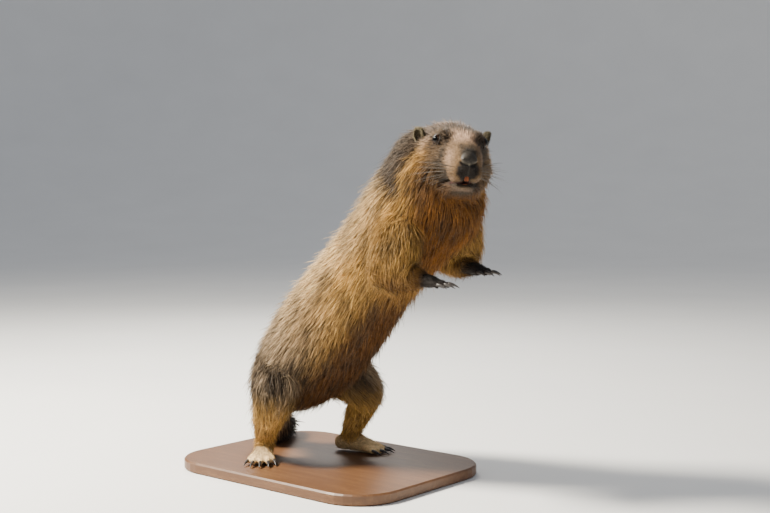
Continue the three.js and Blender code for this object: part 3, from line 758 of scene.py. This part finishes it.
# The nose is bare, pebbled leather, and the mouth is lined with dark wet skin
leather, leather_shader = finish("nose_leather", 0.55, 0.25)
pebbles = texture(leather, 900.0, 2.0, 0.5)
leather_tone = add(leather, "ShaderNodeMix", {
    0: 1.0, 6: add(leather, "ShaderNodeAttribute", {}, attribute_name="coat").outputs["Color"],
    7: ramp(leather, pebbles.outputs["Fac"], [(0.3, (0.6, 0.6, 0.6, 1)), (0.7, (1.5, 1.5, 1.5, 1))]),
}, data_type="RGBA", blend_type="MULTIPLY")
fill(leather, leather_shader, {"Base Color": leather_tone.outputs[2]})
relief(leather, leather_shader, pebbles.outputs["Fac"], 0.5, 0.0003)
lining, lining_shader = finish("mouth_lining", 0.8, 0.08)
folds = texture(lining, 400.0, 3.0, 0.5)
fill(lining, lining_shader, {"Base Color": ramp(lining, folds.outputs["Fac"], [
    (0.3, (0.012, 0.006, 0.006, 1)), (0.7, (0.06, 0.025, 0.022, 1)),
])})
relief(lining, lining_shader, folds.outputs["Fac"], 0.3, 0.0003)
skin.data.materials.append(leather)
skin.data.materials.append(lining)
skin_faces = np.empty(len(skin.data.polygons) * 3)
skin.data.polygons.foreach_get("center", skin_faces)
face_middle = in_head(skin_faces.reshape(-1, 3) / MM - ROW)
aside = np.abs(face_middle[:, 1])
is_nose = (face_middle[:, 0] > -8) & (np.hypot(aside / 9.6, (face_middle[:, 2] - 26.5) / 8.6) < 1)
is_nose |= (face_middle[:, 0] > -4) & (aside < 1.0) & (face_middle[:, 2] > 7) & (face_middle[:, 2] < 20)
is_mouth = (np.abs(face_middle[:, 2] - lip_line(face_middle[:, 1])) < 2.1) & (face_middle[:, 0] > -30)
is_mouth |= (aside < 2.6) & (face_middle[:, 2] > 0) & (face_middle[:, 2] < 5.5) & (face_middle[:, 0] > -16)
skin.data.polygons.foreach_set("material_index", np.where(is_mouth, 2, np.where(is_nose, 1, 0)).astype(int))
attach(skin, "root")
flesh = [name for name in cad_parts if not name.startswith(("stand_", "eye_", "ear_"))]
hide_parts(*flesh)

# The eyes are wet, nearly black globes with a dark brown iris. They are set deep, with only the
# front of each showing between its lids, and they look forwards and out to the side.
eye_finish, eye_shader = finish("wet_eye", 0.09, 0.12)
eye_depth = add(eye_finish, "ShaderNodeSeparateXYZ", {
    "Vector": add(eye_finish, "ShaderNodeTexCoord", {}).outputs["Object"],
})
eye_ring = add(eye_finish, "ShaderNodeMapRange", {
    "Value": eye_depth.outputs["Z"], "From Min": 0.0, "From Max": EYE["radius"] * MM,
})
fill(eye_finish, eye_shader, {"Base Color": ramp(eye_finish, eye_ring.outputs["Result"], [
    (0.0, (0.012, 0.008, 0.006, 1)), (0.62, (0.022, 0.012, 0.006, 1)), (0.84, (0.014, 0.007, 0.004, 1)),
    (0.9, (0.001, 0.001, 0.001, 1)),
])})
eye_shader.inputs["Coat Weight"].default_value = 0.06
eye_shader.inputs["Coat Roughness"].default_value = 0.03


def upright_to(direction):
    """The rotation that turns Z to a direction of the head's frame, in the animal's frame."""
    turned = Vector(turning(HEAD) @ direction)
    return Vector((0, 0, 1)).rotation_difference(turned).to_matrix().to_4x4()


for name, side in (("left", 1), ("right", -1)):
    at = np.array([EYE["at"][0], side * EYE["at"][1], EYE["at"][2]])
    globe = bpy.data.meshes.new(f"globe_{name}")
    ball = bmesh.new()
    bmesh.ops.create_uvsphere(ball, u_segments=40, v_segments=28, radius=EYE["radius"] * MM)
    for vertex in ball.verts:
        vertex.co.z += 0.0004 * max(0.0, vertex.co.z / (EYE["radius"] * MM) - 0.8) * 5
    ball.to_mesh(globe)
    ball.free()
    globe.shade_smooth()
    globe.materials.append(eye_finish)
    eye = bpy.data.objects.new(f"globe_{name}", globe)
    bpy.context.scene.collection.objects.link(eye)
    eye.matrix_world = Matrix.Translation(to_row(set_at(HEAD, at))) @ upright_to(facing(side))
    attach(eye, "root")
    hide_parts(f"eye_{name}")

# The lids are bare, dark rims of skin that close on the globe. The upper one is the heavier.
LID = {"radius": 5.7, "tube": 0.7, "squeeze": 1.14}
lid_finish, lid_shader = finish("dark_lid_skin", 0.65, 0.2)
lid_tone = texture(lid_finish, 900.0, 3.0)
fill(lid_finish, lid_shader, {"Base Color": ramp(lid_finish, lid_tone.outputs["Fac"], [
    (0.3, (0.010, 0.008, 0.007, 1)), (0.7, (0.034, 0.025, 0.020, 1)),
])})
relief(lid_finish, lid_shader, lid_tone.outputs["Fac"], 0.4, 0.0003)


def ring_tube(path, radii, sides=10, closed=True):
    """A tube of quads along a path, with a radius at each point, closed in a ring or tapering to its ends."""
    path = np.asarray(path, float)
    count = len(path)
    if closed:
        tangent = unit(np.roll(path, -1, axis=0) - np.roll(path, 1, axis=0))
    else:
        tangent = unit(np.gradient(path, axis=0))
    normal = np.empty_like(path)
    normal[0] = unit(np.cross(tangent[0], (0.31, 0.57, 0.76)))
    for i in range(1, count):
        normal[i] = unit(normal[i - 1] - np.dot(normal[i - 1], tangent[i]) * tangent[i])
    across = np.cross(tangent, normal)
    angle = np.arange(sides) / sides * 2 * math.pi
    radii = np.broadcast_to(np.asarray(radii, float), (count,))
    ring = path[:, None] + radii[:, None, None] * (
        np.cos(angle)[:, None] * normal[:, None] + np.sin(angle)[:, None] * across[:, None])
    last = count if closed else count - 1
    quads = [
        (r * sides + i, r * sides + (i + 1) % sides,
         ((r + 1) % count) * sides + (i + 1) % sides, ((r + 1) % count) * sides + i)
        for r in range(last) for i in range(sides)
    ]
    if not closed:
        quads += [tuple(range(sides))[::-1], tuple((count - 1) * sides + i for i in range(sides))]
    return ring.reshape(-1, 3), quads


lid_rings = []
for side in (1, -1):
    at = np.array([EYE["at"][0], side * EYE["at"][1], EYE["at"][2]])
    look = facing(side)
    level = unit(np.cross((0, 0, 1), look))
    rise = np.cross(look, level)
    turn = np.arange(48) / 48 * 2 * math.pi
    opening = LID["radius"] * (np.cos(turn)[:, None] * level + LID["squeeze"] * np.sin(turn)[:, None] * rise)
    depth = np.sqrt(np.maximum(EYE["radius"] ** 2 - np.sum(opening**2, axis=1), 3.0)) + 0.1
    path = at + opening + depth[:, None] * look
    thick = LID["tube"] * (1 + 0.6 * np.maximum(np.sin(turn), 0))
    ring, quads = ring_tube(path, thick)
    lid_rings.append((set_at(HEAD, ring), quads))
lids = joined("lids", lid_rings)
lids.data.shade_smooth()
lids.data.materials.append(lid_finish)
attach(lids, "root")

# Each ear is a small upright cup, open to the front and side. It is furred behind and along the rim,
# and its hollow carries painted shade, darkest in the pit at the root.


def ear_cup(side):
    """One ear as a closed cup with a rolled rim, its outer side first."""
    rows, around = 14, 36
    u = np.arange(around) / around * 2 * math.pi
    v = np.linspace(0.04, 1.0, rows) * (math.pi / 2 + 0.45)

    def bowl(shrink, shift):
        return np.stack([
            np.outer(-np.cos(v), np.ones(around)) * (EAR["depth"] - shrink) + shift,
            np.outer(np.sin(v), np.cos(u)) * (EAR["width"] - shrink),
            np.outer(np.sin(v), np.sin(u)) * (EAR["height"] - shrink),
        ], axis=-1).reshape(-1, 3)

    outer, inner = bowl(0, 0), bowl(EAR["wall"], 0.5)
    points = np.vstack([outer, inner])
    start = len(outer)
    quads = []
    for r in range(rows - 1):
        for i in range(around):
            j = (i + 1) % around
            quads.append((r * around + i, r * around + j, (r + 1) * around + j, (r + 1) * around + i))
            quads.append((start + (r + 1) * around + i, start + (r + 1) * around + j, start + r * around + j, start + r * around + i))
    rim = (rows - 1) * around
    quads += [(rim + i, rim + (i + 1) % around, start + rim + (i + 1) % around, start + rim + i) for i in range(around)]
    quads += [tuple(range(around))[::-1], tuple(start + i for i in range(around))]
    turned = points @ np.array(Matrix.Rotation(side * EAR["tip"], 3, "X") @ Matrix.Rotation(side * EAR["turn"], 3, "Z")).T
    return turned + (EAR["at"][0], side * EAR["at"][1], EAR["at"][2]), quads


ears = {}
for name, side in (("left", 1), ("right", -1)):
    cup = ear_cup(side)
    ear = joined(f"ear_cup_{name}", [(set_at(HEAD, cup[0]), cup[1])])
    smooth = ear.modifiers.new("round", "SUBSURF")
    smooth.levels = smooth.render_levels = 1
    settle(ear)
    ear.data.shade_smooth()
    bpy.ops.object.select_all(action="DESELECT")
    bpy.context.view_layer.objects.active = ear
    ear.select_set(True)
    ear.data.uv_layers.new(name=COAT_MAP)
    bpy.ops.object.mode_set(mode="EDIT")
    bpy.ops.mesh.select_all(action="SELECT")
    bpy.ops.uv.smart_project(angle_limit=math.radians(66), island_margin=0.002)
    bpy.ops.object.mode_set(mode="OBJECT")
    points = places_of(ear)
    # Painted shade inside the cup's hollow
    hollow = step(0.0, 1.6, np.sum((in_head(points) - (EAR["at"][0], side * EAR["at"][1], EAR["at"][2])) * np.array([
        math.cos(side * EAR["turn"]), math.sin(side * EAR["turn"]), 0]), axis=1) + 3)
    colours = blend(np.tile((0.17, 0.135, 0.08), (len(points), 1)), (0.06, 0.045, 0.03), hollow)
    painted = ear.data.color_attributes.new("coat", "FLOAT_COLOR", "POINT")
    painted.data.foreach_set("color", np.hstack([colours, np.ones((len(points), 1))]).ravel())
    ear.data.materials.append(fur_finish(f"ear_fur_{name}", 0.7, 0.5, 700.0))
    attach(ear, "root")
    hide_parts(f"ear_{name}")
    ears[name] = ear

# The gnawing teeth are two pairs of long chisels, orange in front. Only the ends of the upper pair
# and the tips of the lower one show in the cleft of the lips.
TEETH = {
    "upper": {"at": (-5.2, 8.0), "height": 7.0, "width": 2.4, "deep": 2.4, "way": -1},
    "lower": {"at": (-10.5, -8.5), "height": 5.6, "width": 2.5, "deep": 2.4, "way": 1},
}
enamel, enamel_shader = finish("orange_enamel", 0.35, 0.3)
enamel_tone = texture(enamel, 600.0, 3.0)
fill(enamel, enamel_shader, {"Base Color": ramp(enamel, enamel_tone.outputs["Fac"], [
    (0.25, (0.13, 0.028, 0.006, 1)), (0.75, (0.21, 0.058, 0.014, 1)),
])})
relief(enamel, enamel_shader, enamel_tone.outputs["Fac"], 0.15, 0.0002)
chisels = []
for tooth in TEETH.values():
    x, z = tooth["at"]
    for side in (1, -1):
        heights = np.array([0, 0.5, 0.85, 0.96, 1.0]) * tooth["height"] * tooth["way"]
        wide = tooth["width"] / 2 * np.array([1, 1, 0.97, 0.85, 0.6])
        deep = tooth["deep"] / 2 * np.array([1, 1, 0.8, 0.5, 0.25])
        turn = np.arange(12) / 12 * 2 * math.pi + math.pi / 12
        square = 1 / np.maximum(np.abs(np.cos(turn)), np.abs(np.sin(turn))) ** 0.7
        ring = np.stack([
            x + deep[:, None] * (np.cos(turn) * square) + (tooth["deep"] / 2 - deep)[:, None],
            side * (tooth["width"] / 2 + 0.08) + wide[:, None] * (np.sin(turn) * square),
            z + heights[:, None] + 0 * turn,
        ], axis=-1)
        quads = [
            (r * 12 + i, r * 12 + (i + 1) % 12, (r + 1) * 12 + (i + 1) % 12, (r + 1) * 12 + i)
            for r in range(4) for i in range(12)
        ]
        quads += [tuple(range(12))[::-1], tuple(48 + i for i in range(12))]
        chisels.append((set_at(HEAD, ring.reshape(-1, 3)), quads))
teeth = joined("gnawing_teeth", chisels)
teeth.data.shade_smooth()
teeth.data.materials.append(enamel)
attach(teeth, "root")

# The claws are strong, blunt and dark horn, one on each toe. They grow out of
# the toe's end, curve down and end just off the ground.
horn, horn_shader = finish("claw_horn", 0.35, 0.5)
horn_tone = texture(horn, 420.0, 5.0, 0.6)
fill(horn, horn_shader, {"Base Color": ramp(horn, horn_tone.outputs["Fac"], [
    (0.3, (0.014, 0.012, 0.012, 1)), (0.75, (0.070, 0.060, 0.055, 1)),
])})
relief(horn, horn_shader, horn_tone.outputs["Fac"], 0.3, 0.0003)
for end, kind in (("fore", FORE_TOES), ("hind", HIND_TOES)):
    for side in ("right", "left"):
        hooks = []
        for toe in kind["toes"]:
            base = toe[1] - kind["radius"] * 1.1
            t = np.linspace(0, 1, 9)
            reach = base + (CLAW["length"] + 3) * t
            rise = CLAW["drop"] + 1.6 - 4.4 * t**2.2
            path = np.array([toe_line(kind, toe, x, z) for x, z in zip(reach, rise)])
            ring, quads = ring_tube(path, CLAW["radius"] * (1 - 0.9 * t**1.6), 10, False)
            hooks.append((set_at(PAWS[f"{end}_{side}"], ring), quads))
        claws = joined(f"claws_{end}_{side}", hooks)
        claws.data.shade_smooth()
        claws.data.materials.append(horn)
        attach(claws, "root")

# Whiskers are stiff, dark tapering hairs in rows on the lip pads. They
# sweep out and back, each on its own curve.
WHISKERS = {"rows": 4, "each": 4, "length": 46, "radius": 0.32}
rng = np.random.default_rng(7)
bristle, bristle_shader = finish("whisker_hair", 0.4, 0.4)
bristle_tone = texture(bristle, 300.0)
fill(bristle, bristle_shader, {"Base Color": ramp(bristle, bristle_tone.outputs["Fac"], [
    (0.3, (0.02, 0.016, 0.013, 1)), (0.7, (0.16, 0.13, 0.10, 1)),
])})
hairs = []
for side in (1, -1):
    for row in range(WHISKERS["rows"]):
        for k in range(WHISKERS["each"]):
            root = np.array([-6 - 4.2 * k, side * (13.5 + 1.6 * k), 6 + 3.2 * row]) + rng.normal(0, 0.5, 3)
            out = unit(np.array([0.25 - 0.22 * k, side * 1.0, -0.25 + 0.16 * row]) + rng.normal(0, 0.06, 3))
            length = WHISKERS["length"] * (0.6 + 0.13 * k) * rng.uniform(0.85, 1.1)
            t = np.linspace(0, 1, 8)[:, None]
            path = root + out * length * t + np.array([-0.34, 0, -0.16]) * length * t**2
            ring, quads = ring_tube(path, WHISKERS["radius"] * (1 - 0.85 * t[:, 0]), 5, False)
            hairs.append((set_at(HEAD, ring), quads))
whiskers = joined("whiskers", hairs)
whiskers.data.shade_smooth()
whiskers.data.materials.append(bristle)
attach(whiskers, "root")

# The coat is made of tapering tufts of guard hair, each rooted in the skin. They lie along the coat's
# own direction, gather into small locks, and carry dark roots and pale or dark tips.
DENSITY = 1.0
LONG_FUR = 8.5
LOCK_SIZE = 0.09
skin.data.calc_loop_triangles()


def ground_of(thing, field, colours):
    """What tufts need to know of the surface that they grow on."""
    mesh = thing.data
    mesh.calc_loop_triangles()
    count = len(mesh.loop_triangles)
    corners, loops = np.empty(count * 3, int), np.empty(count * 3, int)
    mesh.loop_triangles.foreach_get("vertices", corners)
    mesh.loop_triangles.foreach_get("loops", loops)
    spread_map = np.empty(len(mesh.loops) * 2)
    mesh.uv_layers[COAT_MAP].data.foreach_get("uv", spread_map)
    points = places_of(thing)
    place = points[corners.reshape(-1, 3)]
    tree = KDTree(len(points))
    for i, point in enumerate(points):
        tree.insert(point, i)
    tree.balance()
    return {
        "points": points, "normals": normals_of(thing), "tree": tree, "place": place,
        "map": spread_map.reshape(-1, 2)[loops.reshape(-1, 3)],
        "area": np.linalg.norm(np.cross(place[:, 1] - place[:, 0], place[:, 2] - place[:, 0]), axis=1) / 2,
        "field": field, "colours": colours,
    }


def nearest(tree, points):
    """The nearest of a tree's points to each point."""
    return np.fromiter((tree.find(point)[1] for point in points), int, len(points))


def gathered(roots, pull):
    """How far each tuft leans to the middle of the lock it is in, and which lock that is."""
    chosen = roots[rng.choice(len(roots), max(3, int(len(roots) * LOCK_SIZE)), replace=False)]
    heads = KDTree(len(chosen))
    for i, point in enumerate(chosen):
        heads.insert(point, i)
    heads.balance()
    lock = nearest(heads, roots)
    return (chosen[lock] - roots) * pull, lock


def blades(middles, normals, width, breadths):
    """Closed three-sided blades through their sections, each tapering to its tip."""
    count, rows = len(width), len(breadths)
    vertices = np.empty((count, 3 * rows + 1, 3))
    for k, broad in enumerate(breadths):
        direction = unit(middles[k + 1] - middles[k])
        across = unit(np.cross(normals[k], direction)) * (width * broad / 2)[:, None]
        vertices[:, 3 * k] = middles[k] - across
        vertices[:, 3 * k + 1] = middles[k] + across
        vertices[:, 3 * k + 2] = middles[k] + normals[k] * (width * broad * 0.42)[:, None]
    vertices[:, -1] = middles[rows]
    band = [(0, 1, 4), (0, 4, 3), (1, 2, 5), (1, 5, 4), (2, 0, 3), (2, 3, 5)]
    last = 3 * (rows - 1)
    faces = [(0, 2, 1)] + [tuple(i + 3 * k for i in face_) for k in range(rows - 1) for face_ in band]
    faces += [(last, last + 1, 3 * rows), (last + 1, last + 2, 3 * rows), (last + 2, last, 3 * rows)]
    return vertices, np.array(faces)


def coat(name, slot, ground, chosen, tufts, finish_, dark_share, contrast, rows=3, slimness=0.2, lean=0.22):
    """One piece of the coat over chosen triangles of a surface."""
    share = ground["area"][chosen] / np.maximum(ground["triangle_fur"][chosen], 3.0)
    count = int(tufts * DENSITY)
    picks = chosen[rng.choice(len(chosen), count, p=share / share.sum())]
    mix = rng.dirichlet((1, 1, 1), count)
    roots = np.einsum("ij,ijk->ik", mix, ground["place"][picks])
    root_map = np.einsum("ij,ijk->ik", mix, ground["map"][picks])
    field = ground["field"](roots)
    fur = field["fur"]
    steps = (0.0, 0.33, 0.68, 1.0) if rows == 3 else (0.0, 0.5, 1.0)
    breadths = (0.8, 1.0, 0.6) if rows == 3 else (0.9, 0.85)
    normal = ground["normals"][nearest(ground["tree"], roots)]
    sag = DROOP * np.clip(fur / 16, 0, 1)[:, None]
    flow = unit(field["flow"]) + sag * (0, 0, -1) + rng.normal(0, 0.13, (count, 3))
    flow = unit(flow - np.sum(flow * normal, axis=1, keepdims=True) * normal)
    length = fur * rng.uniform(0.6, 1.15, count)
    height = FUR_DEPTH * fur * rng.gamma(5.0, 0.26, count)
    clump, lock = gathered(roots, lean)
    middles, normals = [], []
    for t in steps:
        reach = roots + flow * (length * t)[:, None] + clump * t**1.4
        under = nearest(ground["tree"], reach)
        normal = ground["normals"][under]
        off = np.sum((reach - ground["points"][under]) * normal, axis=1)
        lift = height * t**0.8 - 0.7 * (1 - t)
        middles.append(reach + normal * (lift - off)[:, None])
        normals.append(normal)
    width = slimness * np.sqrt(fur) * rng.uniform(0.7, 1.3, count)
    vertices, faces = blades(middles, normals, width, breadths)
    vertices[..., 2] = np.maximum(vertices[..., 2], 0.3)
    each = vertices.shape[1]
    mesh = bpy.data.meshes.new(name)
    corners = (faces[None] + each * np.arange(count)[:, None, None]).reshape(-1)
    mesh.vertices.add(count * each)
    mesh.vertices.foreach_set("co", to_row(vertices.reshape(-1, 3)).ravel())
    mesh.loops.add(len(corners))
    mesh.loops.foreach_set("vertex_index", corners)
    mesh.polygons.add(len(corners) // 3)
    mesh.polygons.foreach_set("loop_start", np.arange(0, len(corners), 3))
    mesh.update(calc_edges=True)
    mesh.shade_smooth()
    patch = np.array([(s, t - 0.5) for t in steps[:-1] for s in (-0.5, 0.5, 0.0)] + [(0.0, 0.5)]) * 0.003
    places = (root_map[:, None] + patch)[:, faces.ravel()].reshape(-1, 2)
    mesh.uv_layers.new(name=COAT_MAP).data.foreach_set("uv", places.ravel())
    base = ground["colours"](roots, field)
    base = base * (rng.normal(1.0, 0.11, lock.max() + 1)[lock] * rng.normal(1.0, 0.13, count))[:, None]
    dark = (rng.random(count) < dark_share)[:, None]
    base = np.where(dark, base * 0.34, base)
    root_colour = base * (1 - 0.55 * contrast)
    tip_colour = np.where(dark, base * 1.6, base * (1 + 0.35 * contrast)) + 0.006 * contrast
    colours = np.empty((count, each, 4))
    colours[..., 3] = 1
    for k, t in enumerate(steps[:-1]):
        shade = root_colour + (base - root_colour) * min(1.0, 1.6 * t)
        shade = shade + (tip_colour - shade) * max(0.0, (t - 0.45) * 1.4)
        colours[:, 3 * k:3 * k + 3, :3] = np.clip(shade, 0, 1)[:, None]
    colours[:, -1, :3] = np.clip(tip_colour, 0, 1)
    mesh.color_attributes.new("coat", "FLOAT_COLOR", "POINT").data.foreach_set("color", colours.ravel())
    mesh.materials.append(finish_)
    piece = bpy.data.objects.new(name, mesh)
    bpy.context.scene.collection.objects.link(piece)
    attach(piece, "root")


body = ground_of(skin, coat_field, markings_and_shade)
triangles = np.empty(len(skin.data.loop_triangles) * 3, int)
skin.data.loop_triangles.foreach_get("vertices", triangles)
spread_field = {key: value[triangles.reshape(-1, 3)].mean(axis=1) for key, value in skin_field.items()}
body["triangle_fur"] = spread_field["fur"]
region = spread_field["share"].argmax(axis=1)
along = spread_field["along"]
short = spread_field["fur"] <= LONG_FUR
middle = body["place"].mean(axis=1)
face_place = in_head(middle)
aside = np.abs(face_place[:, 1])
eye_middles = np.array([set_at(HEAD, (EYE["at"][0], s * EYE["at"][1], EYE["at"][2])) for s in (1, -1)])
bare = np.min(np.linalg.norm(middle[:, None] - eye_middles, axis=2), axis=1) < EYE["radius"] + 0.4
bare |= (face_place[:, 0] > -9) & (np.hypot(aside / 9.8, (face_place[:, 2] - 26.5) / 8.8) < 1)
bare |= (face_place[:, 0] > -6) & (aside < 1.2) & (face_place[:, 2] > 5) & (face_place[:, 2] < 20)
bare |= (np.abs(face_place[:, 2] - lip_line(face_place[:, 1])) < 2.8) & (face_place[:, 0] > -30)
bare |= (aside < 3.2) & (face_place[:, 2] > -1) & (face_place[:, 2] < 7.5) & (face_place[:, 0] > -16)
from_ear = np.hypot(aside - EAR["at"][1], np.hypot(face_place[:, 0] - EAR["at"][0], face_place[:, 2] - EAR["at"][2]))
bare |= from_ear < 8
guard_hair = fur_finish("guard_hair", 0.55, 0.2, 180.0)
PARTS = [
    ("coat_rump", "coat_body", (region == 0) & (along < 0.2), 7400, 0.32, 1.0),
    ("coat_loins", "coat_body", (region == 0) & (along >= 0.2) & (along < 0.36), 9600, 0.32, 1.0),
    ("coat_flanks", "coat_body", (region == 0) & (along >= 0.36) & (along < 0.54), 10600, 0.2, 0.9),
    ("coat_ribs", "coat_body", (region == 0) & (along >= 0.54) & (along < 0.7), 7600, 0.16, 0.9),
    ("coat_chest", "coat_neck", (region == 0) & (along >= 0.7) & (along < 0.86), 6600, 0.2, 0.9),
    ("coat_neck", "coat_neck", (region == 0) & (along >= 0.86), 6800, 0.24, 0.9),
    ("coat_head", "coat_head", (region == 1) & ~short, 18500, 0.22, 0.9, 2, 0.15),
    ("coat_face", "coat_head", (region == 1) & short, 15500, 0.14, 0.6, 2, 0.15),
    ("coat_arms", "coat_limb", region == 2, 10800, 0.2, 0.9),
    ("coat_legs", "coat_limb", region == 3, 10800, 0.22, 0.9),
    ("coat_forepaws", "paw_fore", region == 4, 3600, 0.1, 0.5, 2),
    ("coat_hind_feet", "paw_hind", region == 5, 4600, 0.08, 0.5, 2),
    ("coat_tail", "coat_tail", region == 6, 4200, 0.3, 0.9),
]
for name, slot, chosen, tufts, *look in PARTS:
    coat(name, slot, body, np.flatnonzero(chosen & ~bare), tufts, guard_hair, *look)


def ear_field(points):
    """The lie of an ear's short fur: out from its root to its rim."""
    place = in_head(points)
    side = np.sign(place[:, 1:2])
    away = place - (-84, 0, 37) - side * (0, 34, 0)
    return {"flow": unit(away) @ turning(HEAD).T, "fur": np.full(len(points), EAR_FUR)}


def ear_colours(points, field):
    """Olive grey fur, with painted shade in the pit at the ear's root."""
    place = in_head(points)
    place[:, 1] = np.abs(place[:, 1])
    pit = spread_of(np.linalg.norm(place - (-80, 44, 37), axis=1), 5.5)
    return blend(np.tile(EAR_COLOUR, (len(points), 1)), BLACK_FUR_AND_SHADE, 0.95 * pit)


EAR_FUR = 5.0
EAR_COLOUR = (0.165, 0.135, 0.075)
for name, ear in ears.items():
    cup = ground_of(ear, ear_field, ear_colours)
    cup["triangle_fur"] = np.full(len(cup["area"]), EAR_FUR)
    coat(f"coat_ear_{name}", "coat_ear", cup, np.arange(len(cup["area"])), 1500, guard_hair, 0.15, 0.6, 2)

# The room is a plain pale studio floor that curves up all round into a wall, with a large soft lamp
# high on the left, a weak one on the right and one behind.
ROOM = {"flat": 4.5, "reach": 8.5, "height": 2.4, "sides": 96, "rows": 14}
turns = np.arange(ROOM["sides"]) / ROOM["sides"] * 2 * math.pi
sweep = np.linspace(0, math.pi / 2, ROOM["rows"])
radii = [ROOM["flat"] / 2] + list(ROOM["flat"] + (ROOM["reach"] - ROOM["flat"]) * np.sin(sweep))
heights = [0.0] + list(ROOM["height"] * (1 - np.cos(sweep)))
walls = [
    (radius * math.cos(turn), radius * math.sin(turn), height) for radius, height in zip(radii, heights) for turn in turns
]
panels = [tuple(range(ROOM["sides"]))] + [
    (k * ROOM["sides"] + i, k * ROOM["sides"] + (i + 1) % ROOM["sides"],
     (k + 1) * ROOM["sides"] + (i + 1) % ROOM["sides"], (k + 1) * ROOM["sides"] + i)
    for k in range(len(radii) - 1) for i in range(ROOM["sides"])
]
floor_mesh = bpy.data.meshes.new("floor")
floor_mesh.from_pydata(walls, [], [panel[::-1] if k else panel for k, panel in enumerate(panels)])
floor_mesh.shade_smooth()
floor = bpy.data.objects.new("floor", floor_mesh)
bpy.context.scene.collection.objects.link(floor)
floor_finish, floor_shader = finish("pale_floor", 0.8, 0.2)
floor_tone = texture(floor_finish, 3.0)
fill(floor_finish, floor_shader, {"Base Color": ramp(floor_finish, floor_tone.outputs["Fac"], [
    (0.3, (0.84, 0.84, 0.83, 1)), (0.7, (0.87, 0.87, 0.86, 1)),
])})
floor_mesh.materials.append(floor_finish)

world = bpy.data.worlds.new("studio")
bpy.context.scene.world = world
world.use_nodes = True
world.node_tree.nodes["Background"].inputs["Color"].default_value = (0.88, 0.92, 1.0, 1)
world.node_tree.nodes["Background"].inputs["Strength"].default_value = 0.42
AIM = Vector((0.08, 0.0, 0.24))
LIGHTS = [
    ("key", (-0.93, -0.90, 1.65), 175.0, 0.45, (1.0, 0.93, 0.80)),
    ("fill", (1.9, -0.6, 0.9), 2.0, 1.2, (0.92, 0.96, 1.0)),
    ("rim", (-1.1, 1.1, 1.3), 18.0, 0.7, (1.0, 0.96, 0.88)),
]
for name, at, power, size, colour in LIGHTS:
    lamp = bpy.data.lights.new(name, "AREA")
    lamp.energy = power
    lamp.size = size
    lamp.color = colour
    light = bpy.data.objects.new(name, lamp)
    bpy.context.scene.collection.objects.link(light)
    light.location = at
    light.rotation_euler = (AIM - Vector(at)).to_track_quat("-Z", "Y").to_euler()

# The camera stands before the animal and to its right, a little above its middle
CAMERA = {"at": (1.0686, -1.1572, 0.3713), "azimuth": 40.0, "down": 3.2, "lens": 56.0}
lens = bpy.data.cameras.new("camera")
lens.lens = CAMERA["lens"]
lens.sensor_width = 36.0
camera = bpy.data.objects.new("camera", lens)
bpy.context.scene.collection.objects.link(camera)
camera.location = CAMERA["at"]
camera.rotation_euler = (math.radians(90 - CAMERA["down"]), 0, math.radians(CAMERA["azimuth"]))
bpy.context.scene.camera = camera
